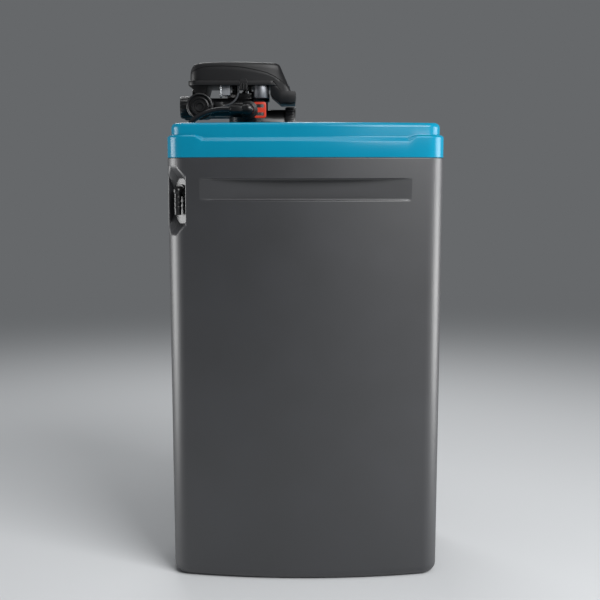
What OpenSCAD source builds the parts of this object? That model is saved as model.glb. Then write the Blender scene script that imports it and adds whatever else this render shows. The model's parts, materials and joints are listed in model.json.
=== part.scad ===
// Cabinet water softener: a brine tub with a two-tier top cover, a resin vessel
// inside it, and a motor-driven rotary control valve standing in the rear well.
// The frame has X from the rear (-) to the display (+), Z up, and its origin on
// the floor under the middle of the tub.

/* [Cabinet] */
// Depth of the tub at its rim, rear to front
cab_depth = 500; // [480:1:540]
// Width of the tub at its rim
cab_width = 360; // [350:1:400]
// Height of the tub's rim above the floor
tub_h = 748; // [720:1:790]
// Wall thickness of the tub and the top cover
wall = 4; // [3:0.5:5]
// How far each side leans in from rim to floor
draft = 4; // [2:0.5:8]
// Plan radius of the bulged long sides
side_r = 1000; // [800:10:1600]
// Plan radius of the bulged short ends
end_r = 900; // [700:10:1600]
// Plan radius of the four corners
corner_r = 40; // [34:1:46]
// Rounding of the bottom edge
foot_round = 16; // [8:1:20]

/* [Top cover] */
// Height of the top cover's skirt, tub rim to deck
cover_h = 60; // [54:1:66]
// How far the upper tier stands in from the lower one
tier_step = 7; // [5:0.5:9]
// Rounding of the deck's outer edge
deck_round = 8; // [4:1:10]
// Depth of the rear well below the deck
well_depth = 35; // [30:1:37]

/* [Salt hatch] */
// Distance of the hatch's front edge from the tub's front end
hatch_front = 22; // [18:1:60]
// Width of the hatch
hatch_w = 280; // [220:1:290]
// Thickness of the hatch panel
hatch_t = 5; // [4:0.5:6]
// Radius of the hinge pins
hinge_pin_r = 2.5; // [2:0.1:3]

/* [Hand grips] */
// Half length of each hand grip
grip_half = 185; // [150:1:190]
// Height of each hand grip
grip_h = 37; // [30:1:45]
// Distance of a grip's ceiling below the tub's rim
grip_drop = 36; // [30:1:50]

/* [Overflow pocket] */
// Height of the corner pocket's opening
pocket_h = 118; // [110:1:140]
// Width of the corner pocket's opening
pocket_w = 46; // [40:1:50]
// Depth of the corner pocket
pocket_d = 20; // [17:0.5:22]

/* [Resin vessel] */
// Outer radius of the vessel
vessel_r = 101; // [96:0.5:103]
// Wall thickness of the vessel
vessel_wall = 3; // [2.5:0.5:4]
// Radius of the riser tube
riser_r = 13.5; // [12:0.5:14]
// Height of the resin bed inside the vessel
resin_h = 430; // [300:10:500]

/* [Control valve] */
// Distance of the valve's axis from the tub's rear end
valve_in = 145; // [143:1:147]
// Height of the valve above the vessel's neck
valve_h = 154; // [154:1:160]
// Width of the valve's cover
hood_w = 126; // [122:1:140]
// Wall thickness of the valve's cover
hood_wall = 2.5; // [2:0.25:3]
// Radius of the bypass knob
knob_r = 24; // [22:0.5:25]
// Outer radius of the brine tube
tube_r = 4.75; // [4:0.25:5]
// Travel of a push button
button_travel = 1; // [0.6:0.1:1.2]
// Tooth module of the drive gears
gear_m = 1.25; // [1.2:0.05:1.25]

/* [Clearances] */
// Radial clearance of a shaft or pin that turns
run_fit = 0.05; // [0.02:0.01:0.08]
// Gap between parts that slide or lift past each other
slide_gap = 0.5; // [0.35:0.05:0.6]
// Radial gap of a fixed part in its seat
seat_gap = 0.1; // [0.05:0.05:0.2]

/* [Hidden] */
$fn = 96;

// Heights, from the floor up
eps = 0.01;
floor_t = 6;
deck_z = tub_h + cover_h;
well_floor_t = 3;
well_z = deck_z - well_depth;
well_under = well_z - well_floor_t;
neck_gap = 4;
neck_z = well_under - neck_gap;
valve_x = valve_in - cab_depth / 2;

// Plan outline of the cabinet: two bulged sides, two bulged ends, four corners
side_a = [0, cab_width / 2 - side_r];
end_b = [cab_depth / 2 - end_r, 0];
ab = end_b - side_a;
ab_d = norm(ab);
ra = side_r - corner_r;
rb = end_r - corner_r;
ab_a = (ra * ra - rb * rb + ab_d * ab_d) / (2 * ab_d);
ab_h = sqrt(ra * ra - ab_a * ab_a);
ab_u = ab / ab_d;
corner_c = side_a + ab_a * ab_u + ab_h * [ab_u.y, -ab_u.x];
corner_a0 = atan2(corner_c.y - end_b.y, corner_c.x - end_b.x);
corner_a1 = atan2(corner_c.y - side_a.y, corner_c.x - side_a.x);
arc_side = 11;
arc_end = 6;
arc_corner = 8;

function on_arc(c, r, a) = c + r * [cos(a), sin(a)];
function quarter(inset) = concat(
  [for (k = [0 : arc_end - 1]) on_arc(end_b, end_r - inset, corner_a0 * k / arc_end)],
  [for (k = [0 : arc_corner - 1])
    on_arc(corner_c, corner_r - inset, corner_a0 + (corner_a1 - corner_a0) * k / arc_corner)],
  [for (k = [0 : arc_side])
    on_arc(side_a, side_r - inset, corner_a1 + (90 - corner_a1) * k / arc_side)]
);
function outline_points(inset) =
  let (q = quarter(inset), n = len(q))
  concat(
    [for (k = [0 : n - 2]) q[k]],
    [for (k = [n - 1 : -1 : 1]) [-q[k].x, q[k].y]],
    [for (k = [0 : n - 2]) -q[k]],
    [for (k = [n - 1 : -1 : 1]) [q[k].x, -q[k].y]]
  );

// Tub
lean_at = function (z) draft * (1 - z / tub_h);
rim_round = 1.6;
inner_round = 6;
round_steps = 4;
grip_top = tub_h - grip_drop;
grip_depth = side_r - sqrt(side_r * side_r - grip_half * grip_half);

// Overflow pocket in the rear corner nearest the knob, set out along the corner's diagonal
pocket_a = 180 + (corner_a0 + corner_a1) / 2;
pocket_drop = 16;
pocket_top = tub_h - pocket_drop;
pocket_bottom = pocket_top - pocket_h;
pocket_slope = pocket_d;
pocket_chamfer = 16;
pocket_back = corner_r - pocket_d;
overflow_drop = 41;
overflow_z = pocket_top - overflow_drop;
spigot_r = 7;
spigot_wall = 1.6;
spigot_out = corner_r - spigot_r - 4;
spigot_len = 42;
spigot_plain = 8;
barb_pitch = 8;
overflow_hole_r = 8;
overflow_tail = 14;
overflow_lip = 3;
overflow_nut_t = 5;
seal_t = 2;

// Tiers of the top cover
ledge_drop = 21;
dip_drop = 12;
ledge_z = deck_z - ledge_drop;
dip_z = ledge_z - dip_drop;
dip_h = 8;
dip_short = 8;
dip_half = grip_half - dip_short;
dip_slant = 14;

// Rear well and brine well
rear_rim = 13;
side_rim = 38;
rear_x0 = tier_step + rear_rim - cab_depth / 2;
rear_room = 97;
rear_x1 = valve_x + rear_room;
rear_half = cab_width / 2 - side_rim;
rear_r = 24;
neck_hole_r = 53;
bwell_r = 23;
bwell_wall = 2.5;
bwell_in = 46;
bwell_edge = 85;
bwell_off = 6;
bwell_x = bwell_in - cab_depth / 2;
elbow_y = -80;
bwell_y = max(elbow_y - bwell_off, bwell_edge - cab_width / 2);
bwell_top = well_z;
well_cap_lip = 2.5;
well_cap_r = bwell_r + well_cap_lip;
well_cap_t = 5;

// Hatch opening, hinge and its frame in the deck
hinge_room = 28;
hinge_x = rear_x1 + hinge_room;
hatch_x1 = cab_depth / 2 - hatch_front;
hatch_half = hatch_w / 2;
hatch_r = 14;
hatch_under = deck_z - hatch_t;
hinge_z = hatch_under;
hinge_barrel_r = hatch_t;
hinge_end_gap = 10;
barrel_half = hatch_half - hinge_end_gap;
frame_rim = 10;
frame_ledge = 9;
frame_depth = 13;
pin_len = 26;
cheek_len = 7;
cheek_room = 2.5;
finger_w = 70;
finger_d = 9;

// Resin vessel
foot_h = 46;
foot_in = 66;
vessel_lift = 8;
vessel_z0 = floor_t + vessel_lift;
dome_h = 62;
neck_r = 39;
neck_bore = 31;
seal_r = 1.6;
seal_drop = 9;
neck_h = 24;
vessel_shoulder = neck_z - neck_h - dome_h;
dome_steps = 9;
riser_wall = 1.6;
riser_socket = 10;
riser_up = 40;
distributor_r = 28;
distributor_h = 70;
resin_z0 = vessel_z0 + vessel_wall;

// Valve body levels
body_r = 36;
collar_r = 48;
collar_t = 10;
spigot_z0 = neck_z - neck_h;
flange_r = 39;
flange_t = 6;
body_h = 92;
flange_z = neck_z + body_h;
cap_z = flange_z;
cap_t = 8;
disc_bore_r = 30.5;
fixed_r = 30;
moving_r = 27;
disc_t = 8;
disc_port_r = 6;
disc_port_at = 18;
moving_t = 7;
disc_depth = 32;
disc_floor = flange_z - disc_depth;
shaft_r = 6;
cap_hub_r = 12;
cap_hub_h = 5;
cap_screw_r = 34;
cap_screw_in = flange_t - 1;
screw_r = 2;
screw_head_r = 3.6;
screw_head_h = 3;

// Ports of the valve body
port_up = 74;
port_z = neck_z + port_up;
port_y = 32;
port_r = 17;
port_bore = 13.5;
bypass_bore = port_bore - 3;
port_back = 61;
port_front = 10;
port_x0 = valve_x - port_back;
port_x1 = valve_x + port_front;
side_port_in = 3;
side_port_up = 69;
side_port_x = valve_x + side_port_in;
side_port_z = neck_z + side_port_up;
side_port_r = 16;
side_port_bore = 9;
side_port_y = 56;
side_port_in_y = 38;
barrel_up = 44;
barrel_z = neck_z + barrel_up;
barrel_r = 28;
barrel_bore = 22;
barrel_gap = 0.2;
injector_in = 22;
injector_r = 10;
injector_out = 4;
barrel_len = 68;
barrel_x1 = valve_x + barrel_len;
injector_cap_r = 33;
injector_cap_t = 19;
injector_cap_x1 = barrel_x1 + injector_cap_t;

// Control base and hood
base_up = 112;
rim_up = 8;
base_z = neck_z + base_up;
base_t = 4;
flange_top = base_z + rim_up;
hood_top = neck_z + valve_h;
base_back = 106;
base_front = 48;
base_lip = 2.5;
screw_bite = 4;
hood_step = 3;
chin_drop = 10;
chin_h = 21;
chin_front = 88;
base_x0 = valve_x - base_back;
base_x1 = valve_x + base_front;
chin_z = base_z - chin_drop;
chin_under = chin_z - chin_h;
chin_x1 = valve_x + chin_front;
base_half = hood_w / 2 + base_lip;
hood_half = hood_w / 2;
leg_at = 24;
leg_r = 5;
hood_profile = [
  [valve_x - 103, flange_top], [valve_x - 103, flange_top + 14],
  [valve_x - 100, hood_top - 9], [valve_x - 91, hood_top - 2.5],
  [valve_x - 60, hood_top - 0.8], [valve_x - 8, hood_top],
  [valve_x + 50, hood_top - 1.5], [valve_x + 59, hood_top - 5],
  [valve_x + 79, chin_z], [valve_x + 62, chin_z], [valve_x + 48, flange_top]
];
face_top = hood_profile[7];
face_low = hood_profile[8];
face_mid = (face_top + face_low) / 2;
face_a = atan2(face_low.x - face_top.x, face_top.y - face_low.y);
face_n = [cos(face_a), sin(face_a)];
face_v = [-sin(face_a), cos(face_a)];
power_y = 36;
inlet_body_r = 5;
inlet_lip = 1.5;
power_z = base_z - inlet_body_r - inlet_lip - 1;
inlet_body_len = 20;
power_bore = 2.75;
power_depth = 12;
hood_plan_r = 16;
hood_edge_r = 12;
lens_w = 66;
lens_h = 20;
lens_t = 1.5;
lens_v = 9;
button_r = 4.5;
button_v = -12;
button_pitch = 18;
button_stand = 1.6;
button_flange_r = 6;
button_flange_t = 1;
board_back = 10;
board_t = 1.6;
board_w = 100;
board_h = 40;

// Drive train
main_teeth = 42;
idler_big = 35;
idler_small = 14;
pinion_teeth = 14;
mesh_slack = 0.12;
motor_ahead = 25;
motor_x = valve_x + motor_ahead;
motor_y = -48;
motor_r = 14;
motor_h = 22;
motor_shaft_r = 2;
motor_shaft_in = 6;
motor_boss_r = 6;
axle_r = 2.5;
axle_seat = 3;
low_z = flange_top + 1.5;
low_t = 6;
high_z = low_z + low_t + 1;
high_t = 8;
gear_pd = function (n) n * gear_m;
main_idler = (gear_pd(main_teeth) + gear_pd(idler_small)) / 2 + mesh_slack;
idler_pinion = (gear_pd(idler_big) + gear_pd(pinion_teeth)) / 2 + mesh_slack;
mp = [motor_x - valve_x, motor_y];
mp_d = norm(mp);
mp_a = (main_idler * main_idler - idler_pinion * idler_pinion + mp_d * mp_d) / (2 * mp_d);
mp_h = sqrt(main_idler * main_idler - mp_a * mp_a);
mp_u = mp / mp_d;
idler_at = [valve_x, 0] + mp_a * mp_u + mp_h * [-mp_u.y, mp_u.x];
main_to_idler = atan2(idler_at.y, idler_at.x - valve_x);
idler_to_pinion = atan2(motor_y - idler_at.y, motor_x - idler_at.x);
tooth_backlash = 0.36;
tooth_addendum = 0.8;
tooth_dedendum = 1.2;
tooth_angle = 20;

// Bypass
bypass_x1 = port_x0;
bypass_back = 108;
spool_back = 84;
bypass_x0 = valve_x - bypass_back;
spool_x = valve_x - spool_back;
spool_r = 15;
spool_floor = 4;
cross_r = 18;
cross_half = 62;
knob_t = 11;
nut_r = 20;
nut_back = 122;
nut_wall = 3;
nut_x0 = valve_x - nut_back;
nut_x1 = spool_x - cross_r - slide_gap;
pipe_r = 11;
pipe_stop = 2;
tail_r = 13;
tail_flange_r = 15;

// Brine elbow, tube and clips
elbow_r = 9.5;
elbow_collar_r = 13;
elbow_bore = 5;
clip_in = 9;
clip_lead = 12;
clip_y0 = side_port_y - clip_in;
clip_t = 4;
clip_neck_r = 7;
clip_half = 15.5;
clip_reach = 31;
clip_spine = side_port_x + clip_reach;
nut_len = 24;
tube_nut_r = 8;
stub_r = 6.5;
stub_len = 8;
barb_h = 1.2;
nut_far = 34;
nut_end = side_port_x - nut_far;
bend_1 = 90;
bend_1_a = atan2(3, 4);
bend_2 = 38;
tube_run = 8;
tube_bore = 3.2;
tube_z = side_port_z;
bend_1_x = nut_end - tube_run;
bend_2_x = bend_1_x - (bend_1 - bend_2) * sin(bend_1_a);
bend_2_z = tube_z - bend_1 + (bend_1 - bend_2) * cos(bend_1_a);
tube_drop_x = bend_2_x - bend_2;
inlet_lift = 12;
inlet_z0 = floor_t + inlet_lift;
inlet_h = 44;
inlet_socket = 16;
arm_up = 20;
inlet_r = 8;

// Float beside the tube inside the brine well
float_off = [8, -5];
float_x = bwell_x + float_off.x;
float_y = bwell_y + float_off.y;
float_r = 8.5;
float_h = 30;
float_z = 90;
float_rod_r = 1.5;
rod_stop_r = 4;
float_travel = 150;
float_spare = 98;
float_rod_top = float_z + float_h + float_travel + float_spare;

// Flow meter
turbine_back = 58;
turbine_x0 = valve_x - turbine_back;
turbine_len = 12;
turbine_r = 12.5;
turbine_hub = 4;
turbine_axle_r = 1.5;
spider_t = 2;
plug_y = -63;
plug_back = 50;
plug_rise = 2;
plug_x = valve_x - plug_back;
plug_z = port_z + plug_rise;
plug_half = 7;
cable_r = 1.7;
cable_off = 4;
cable_bend = 28;
cable_x = plug_x + 7 + cable_bend;

// Basic shapes
module slab(points, z0, z1) {
  translate([0, 0, z0]) linear_extrude(z1 - z0) polygon(points);
}

module x_cyl(r, x0, x1, y, z) {
  translate([x0, y, z]) rotate([0, 90, 0]) cylinder(r = r, h = x1 - x0);
}

module x_hex(r, x0, x1, y, z) {
  translate([x0, y, z]) rotate([0, 90, 0]) cylinder(r = r, h = x1 - x0, $fn = 6);
}

module y_cyl(r, y0, y1, x, z) {
  translate([x, y1, z]) rotate([90, 0, 0]) cylinder(r = r, h = y1 - y0);
}

module z_cyl(r, z0, z1, x = 0, y = 0) {
  translate([x, y, z0]) cylinder(r = r, h = z1 - z0);
}

module box(x0, x1, y0, y1, z0, z1) {
  translate([x0, y0, z0]) cube([x1 - x0, y1 - y0, z1 - z0]);
}

module rounded_plan(x0, x1, y0, y1, r) {
  translate([x0 + r, y0]) square([x1 - x0 - 2 * r, y1 - y0]);
  translate([x0, y0 + r]) square([x1 - x0, y1 - y0 - 2 * r]);
  for (x = [x0 + r, x1 - r], y = [y0 + r, y1 - r]) {
    translate([x, y]) circle(r);
  }
}

module rounded_slab(x0, x1, y0, y1, r, z0, z1) {
  translate([0, 0, z0]) linear_extrude(z1 - z0) rounded_plan(x0, x1, y0, y1, r);
}

// A profile of [x, z] points, drawn out along Y
module side_prism(points, y0, y1) {
  translate([0, y1, 0]) rotate([90, 0, 0]) linear_extrude(y1 - y0) polygon(points);
}

// A solid through outlines given as [z, inset], from the lowest up
module loft(levels) {
  n = len(outline_points(0));
  m = len(levels);
  polyhedron(
    points = [for (l = levels) for (p = outline_points(l[1])) [p.x, p.y, l[0]]],
    faces = concat(
      [[for (k = [0 : n - 1]) k]],
      [for (j = [0 : m - 2], k = [0 : n - 1])
        [j * n + k, (j + 1) * n + k, (j + 1) * n + (k + 1) % n, j * n + (k + 1) % n]],
      [[for (k = [n - 1 : -1 : 0]) (m - 1) * n + k]]
    )
  );
}

// Cabinet tub, with its grips and corner pocket
module tub_outer() {
  loft(concat(
    [for (k = [0 : round_steps])
      let (a = 90 * k / round_steps, z = foot_round * (1 - cos(a)))
      [z, lean_at(z) + foot_round * (1 - sin(a))]],
    [[tub_h - rim_round, lean_at(tub_h - rim_round)], [tub_h, rim_round]]
  ));
}

module tub_inner() {
  loft([
    [floor_t, wall + lean_at(floor_t) + inner_round],
    [floor_t + inner_round, wall + lean_at(floor_t + inner_round)],
    [tub_h + wall, wall]
  ]);
}

// One hand grip's hollow, grown by a margin for the wall behind it
module grip(side, grow) {
  y0 = cab_width / 2 - grip_depth - grow;
  y1 = cab_width / 2 + wall;
  x1 = grip_half + 20;
  box(-x1, x1, side > 0 ? y0 : -y1, side > 0 ? y1 : -y0, grip_top - grip_h - grow, grip_top + grow);
}

// The corner pocket, drawn along the corner's diagonal and grown by a margin
module pocket(grow) {
  half = pocket_w / 2 + grow;
  back = pocket_back - grow;
  z0 = pocket_bottom - grow;
  z1 = pocket_top + grow;
  cut = pocket_chamfer + grow / 2;
  far = corner_r + wall;
  translate([-corner_c.x, -corner_c.y, 0]) rotate([0, 0, pocket_a]) intersection() {
    side_prism(
      [[back, z0 + pocket_slope], [corner_r, z0], [far, z0], [far, z1], [corner_r, z1],
        [back, z1 - pocket_slope]],
      -half, half
    );
    translate([back, 0, 0]) rotate([90, 0, 90]) linear_extrude(far - back) polygon([
      [-half, z0 + cut], [cut - half, z0], [half - cut, z0], [half, z0 + cut],
      [half, z1 - cut], [half - cut, z1], [cut - half, z1], [-half, z1 - cut]
    ]);
  }
}

module cabinet_tub() {
  color("#4A4B4F") difference() {
    tub_outer();
    difference() {
      tub_inner();
      grip(-1, wall);
      grip(1, wall);
      pocket(wall);
    }
    grip(-1, 0);
    grip(1, 0);
    pocket(0);
    on_diagonal() x_cyl(overflow_hole_r, 0, corner_r, 0, overflow_z);
  }
}

module on_diagonal() {
  translate([-corner_c.x, -corner_c.y, 0]) rotate([0, 0, pocket_a]) children();
}

// Overflow fitting: a barbed elbow through the pocket's back wall
module overflow_elbow() {
  barb_z = overflow_z - spigot_len;
  color("#17181A") on_diagonal() difference() {
    union() {
      x_cyl(overflow_hole_r - slide_gap / 2, pocket_back - overflow_tail, spigot_out, 0, overflow_z);
      x_cyl(overflow_hole_r + overflow_lip, pocket_back, pocket_back + overflow_lip, 0, overflow_z);
      translate([spigot_out, 0, overflow_z]) sphere(overflow_hole_r - slide_gap / 2);
      z_cyl(spigot_r - 1, barb_z, overflow_z, spigot_out);
      for (k = [0 : 2]) {
        translate([spigot_out, 0, barb_z + spigot_plain + barb_pitch * k])
          cylinder(r1 = spigot_r - 1, r2 = spigot_r, h = barb_pitch - 2);
      }
    }
    x_cyl(spigot_r - 2 * spigot_wall, pocket_back - overflow_tail - 1, spigot_out, 0, overflow_z);
    z_cyl(spigot_r - 2 * spigot_wall, barb_z - 1, overflow_z, spigot_out);
  }
}

module overflow_gasket() {
  color("#2A2A2C") on_diagonal() difference() {
    x_cyl(overflow_hole_r + overflow_lip, pocket_back - wall - seal_t, pocket_back - wall, 0, overflow_z);
    x_cyl(overflow_hole_r, pocket_back - wall - seal_t - 1, pocket_back - wall + 1, 0, overflow_z);
  }
}

module overflow_nut() {
  x1 = pocket_back - wall - seal_t;
  x0 = x1 - overflow_nut_t;
  color("#17181A") on_diagonal() difference() {
    x_hex(overflow_hole_r + overflow_lip + 1, x0, x1, 0, overflow_z);
    x_cyl(overflow_hole_r - slide_gap / 2, x0 - 1, x1 + 1, 0, overflow_z);
  }
}

// Top cover: a lower tier, an upper tier, a rear well for the valve and the hatch frame
module cover_outer() {
  shoulder = tier_step / 2;
  difference() {
    loft([[tub_h, rim_round], [tub_h + rim_round, 0], [ledge_z - shoulder, 0], [ledge_z, shoulder]]);
    cover_dip();
  }
  loft(concat(
    [[tub_h + dip_h, tier_step]],
    [for (k = [0 : round_steps])
      let (a = 90 * k / round_steps)
      [deck_z - deck_round * (1 - sin(a)), tier_step + deck_round * (1 - cos(a))]]
  ));
}

// The long dip in each side's ledge: all that lies above a sloping edge, between two slanted ends
module cover_dip() {
  slope = tier_step / dip_h;
  reach = dip_h;
  difference() {
    side_prism(
      [[-dip_half, dip_z], [dip_half, dip_z], [dip_half + dip_slant, ledge_z + 1],
        [-dip_half - dip_slant, ledge_z + 1]],
      -cab_width, cab_width
    );
    loft([[dip_z - reach, -slope * reach], [dip_z + dip_h + reach, tier_step + slope * reach]]);
  }
}

module cover_inner() {
  soft = 3;
  loft([
    [tub_h - wall, wall], [dip_z - wall, wall], [dip_z + dip_h - wall, wall + tier_step],
    [deck_z - wall - soft, wall + tier_step], [deck_z - wall, wall + tier_step + soft]
  ]);
}

// Tabs inside the skirt that drop into the tub's mouth and keep the cover in place
module cover_tabs() {
  half = 40;
  drop = 10;
  tab_t = 3;
  for (s = [-1, 1]) {
    scale([1, s, 1]) tab(cab_width / 2, half, drop, tab_t);
    rotate([0, 0, 90 * s]) tab(cab_depth / 2, half, drop, tab_t);
  }
}

module tab(reach, half, drop, tab_t) {
  face = reach - wall - 2 * slide_gap - half * half / 2 / end_r;
  box(-half, half, face - tab_t, face, tub_h - drop, tub_h + drop);
  box(-half, half, face - tab_t, reach - wall / 2 - half * half / 2 / end_r, tub_h + 1, tub_h + drop);
}

module hatch_plan(grow, x0) {
  rounded_plan(x0, hatch_x1 + grow, -hatch_half - grow, hatch_half + grow, hatch_r);
}

// Plan of the two blocks at the hatch's rear corners
module hatch_cheeks(y0, x1) {
  for (s = [-1, 1]) {
    scale([1, s]) translate([0, y0]) square([x1, cab_width]);
  }
}

module top_cover() {
  frame_back = 6;
  throat_gap = 4;
  finger_in = 4;
  finger_r = 5;
  finger_deep = 3;
  color("#0D8AAE") difference() {
    union() {
      difference() {
        cover_outer();
        cover_inner();
      }
      rounded_slab(
        rear_x0 - wall, rear_x1 + wall, -rear_half - wall, rear_half + wall, rear_r + wall,
        well_under, deck_z - wall / 2
      );
      translate([0, 0, deck_z - frame_depth]) linear_extrude(frame_depth - wall / 2)
        hatch_plan(frame_rim, hinge_x - frame_rim - frame_back);
      cover_tabs();
    }
    rounded_slab(rear_x0, rear_x1, -rear_half, rear_half, rear_r, well_z, deck_z + 1);
    z_cyl(neck_hole_r, well_under - 1, well_z + 1, valve_x);
    z_cyl(bwell_r + slide_gap, well_under - 1, well_z + 1, bwell_x, bwell_y);
    translate([0, 0, hatch_under]) linear_extrude(hatch_t + 1) difference() {
      hatch_plan(slide_gap, hinge_x - hinge_barrel_r - 1);
      hatch_cheeks(barrel_half + 1, hinge_x + cheek_len);
    }
    translate([0, 0, deck_z - frame_depth - 1]) linear_extrude(frame_depth)
      hatch_plan(-frame_ledge, hinge_x + hinge_barrel_r + throat_gap);
    y_cyl(hinge_barrel_r + 1, -barrel_half - 1, barrel_half + 1, hinge_x, hinge_z);
    y_cyl(hinge_pin_r, -barrel_half - pin_len / 2, barrel_half + pin_len / 2, hinge_x, hinge_z);
    rounded_slab(
      hatch_x1 - finger_in, hatch_x1 + finger_d - finger_in / 2, -finger_w / 2, finger_w / 2, finger_r,
      hatch_under - finger_deep, deck_z + 1
    );
  }
}

// Salt hatch: a flush panel with a hinge barrel along its rear edge
module salt_hatch() {
  rib_in = 24;
  rib_h = 6;
  rib_t = 4;
  color("#0D8AAE") difference() {
    union() {
      translate([0, 0, hatch_under]) linear_extrude(hatch_t) intersection() {
        hatch_plan(0, hinge_x - hinge_barrel_r - hatch_r);
        difference() {
          translate([hinge_x, -cab_width]) square([cab_depth, 2 * cab_width]);
          hatch_cheeks(barrel_half, hinge_x + cheek_len + cheek_room);
        }
      }
      y_cyl(hinge_barrel_r, -barrel_half, barrel_half, hinge_x, hinge_z);
      for (y = [-hatch_half / 2, hatch_half / 2]) {
        box(
          hinge_x + rib_in, hatch_x1 - rib_in, y - rib_t / 2, y + rib_t / 2,
          hatch_under - rib_h, hatch_under + 1
        );
      }
    }
    y_cyl(hinge_pin_r + run_fit, -barrel_half - 1, pin_len / 2 - barrel_half + 1, hinge_x, hinge_z);
    y_cyl(hinge_pin_r + run_fit, barrel_half - pin_len / 2 - 1, barrel_half + 1, hinge_x, hinge_z);
  }
}

module hatch_pins() {
  color("#B9BCC0") for (s = [-1, 1]) {
    y_cyl(hinge_pin_r, s * barrel_half - pin_len / 2, s * barrel_half + pin_len / 2, hinge_x, hinge_z);
  }
}

// Brine well with its cap, float and the brine tube
module brine_well() {
  slots = 8;
  slot_up = 14;
  slot_h = 26;
  slot_half = 2;
  color("#D9DADC") difference() {
    z_cyl(bwell_r, floor_t, bwell_top, bwell_x, bwell_y);
    z_cyl(bwell_r - bwell_wall, floor_t - 1, bwell_top + 1, bwell_x, bwell_y);
    for (k = [0 : slots - 1]) {
      translate([bwell_x, bwell_y, floor_t + slot_up]) rotate([0, 0, 360 * k / slots])
        box(0, bwell_r + 1, -slot_half, slot_half, 0, slot_h);
    }
  }
}

module well_cap() {
  plug_h = 8;
  collar_t = 4;
  collar_h = 5;
  color("#17181A") difference() {
    union() {
      z_cyl(well_cap_r, bwell_top, bwell_top + well_cap_t, bwell_x, bwell_y);
      z_cyl(bwell_r - bwell_wall - slide_gap, bwell_top - plug_h, bwell_top + 1, bwell_x, bwell_y);
      z_cyl(tube_r + collar_t, bwell_top, bwell_top + well_cap_t + collar_h, tube_drop_x, elbow_y);
    }
    z_cyl(tube_r, bwell_top - plug_h - 1, bwell_top + well_cap_t + collar_h + 1, tube_drop_x, elbow_y);
  }
}

// A tube's bend in the XZ plane: centre, bend radius, start angle and turn
module bend(x, y, z, r, section, a0, turn) {
  translate([x, y, z]) rotate([90, 0, 0]) rotate([0, 0, a0])
    rotate_extrude(angle = turn) translate([r, 0]) circle(section);
}

module brine_route(section, x_start) {
  x_cyl(section, bend_1_x, x_start, elbow_y, tube_z);
  bend(bend_1_x, elbow_y, tube_z - bend_1, bend_1, section, 90, bend_1_a);
  bend(bend_2_x, elbow_y, bend_2_z, bend_2, section, 180, bend_1_a - 90);
  z_cyl(section, inlet_z0 + inlet_h - inlet_socket, bend_2_z, tube_drop_x, elbow_y);
}

module brine_tube() {
  solid_len = 40;
  color("#1B1C1E") difference() {
    brine_route(tube_r, nut_end + nut_len - stub_len);
    x_cyl(tube_bore, nut_end, nut_end + nut_len, elbow_y, tube_z);
    z_cyl(tube_bore, inlet_z0, bend_2_z - solid_len, tube_drop_x, elbow_y);
  }
}

module brine_inlet() {
  arm_z = inlet_z0 + arm_up;
  arm_h = 6;
  arm_w = 4;
  arm_y = float_y - 1;
  slot_up = 6;
  slot_h = 8;
  slot_half = 1.5;
  color("#D9DADC") difference() {
    union() {
      z_cyl(inlet_r, inlet_z0, inlet_z0 + inlet_h, tube_drop_x, elbow_y);
      box(tube_drop_x, float_x, arm_y, arm_y + arm_w, arm_z, arm_z + arm_h);
      box(
        tube_drop_x - arm_w / 2, tube_drop_x + arm_w / 2, min(arm_y, elbow_y), max(arm_y + arm_w, elbow_y),
        arm_z, arm_z + arm_h
      );
      z_cyl(rod_stop_r, arm_z, arm_z + arm_h, float_x, float_y);
      z_cyl(inlet_r - 2, floor_t, inlet_z0, tube_drop_x, elbow_y);
    }
    z_cyl(tube_r, inlet_z0 + inlet_h - inlet_socket, inlet_z0 + inlet_h + 1, tube_drop_x, elbow_y);
    z_cyl(tube_bore, inlet_z0 + slot_up, inlet_z0 + inlet_h, tube_drop_x, elbow_y);
    z_cyl(float_rod_r, arm_z - 1, arm_z + arm_h + 1, float_x, float_y);
    for (a = [0, 90]) {
      translate([tube_drop_x, elbow_y, inlet_z0 + slot_up]) rotate([0, 0, a])
        box(-inlet_r - 1, inlet_r + 1, -slot_half, slot_half, 0, slot_h);
    }
  }
}

module float_rod() {
  stop_t = 4;
  stop_up = 6;
  z0 = inlet_z0 + arm_up;
  color("#D9DADC") {
    z_cyl(float_rod_r, z0, float_rod_top, float_x, float_y);
    z_cyl(rod_stop_r, float_rod_top - stop_t, float_rod_top, float_x, float_y);
    z_cyl(rod_stop_r, z0 + stop_up, float_z, float_x, float_y);
  }
}

module brine_float() {
  color("#F1F1EE") difference() {
    z_cyl(float_r, float_z, float_z + float_h, float_x, float_y);
    z_cyl(float_rod_r + run_fit, float_z - 1, float_z + float_h + 1, float_x, float_y);
  }
}

// Resin vessel, its foot and what is inside it
function dome(r, z, h, a0, a1) =
  [for (k = [0 : dome_steps])
    let (a = a0 + (a1 - a0) * k / dome_steps)
    [r * cos(a), z + h * sin(a)]];
function vessel_points(r, grow, neck) =
  let (
    low = vessel_z0 + dome_h,
    a_neck = acos(neck / r)
  )
  concat(
    dome(r, low, dome_h - grow, -90, 0),
    dome(r, vessel_shoulder, dome_h - grow, 0, a_neck)
  );

module vessel_outer() {
  translate([valve_x, 0, 0]) rotate_extrude() polygon(concat(
    vessel_points(vessel_r, 0, neck_r), [[neck_r, neck_z], [0, neck_z]]
  ));
}

module vessel_inner() {
  r = vessel_r - vessel_wall;
  translate([valve_x, 0, 0]) rotate_extrude() polygon(concat(
    vessel_points(r, vessel_wall, neck_bore), [[neck_bore, neck_z + 1], [0, neck_z + 1]]
  ));
}

module resin_vessel() {
  color("#2F5F8F") difference() {
    vessel_outer();
    vessel_inner();
  }
}

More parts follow.
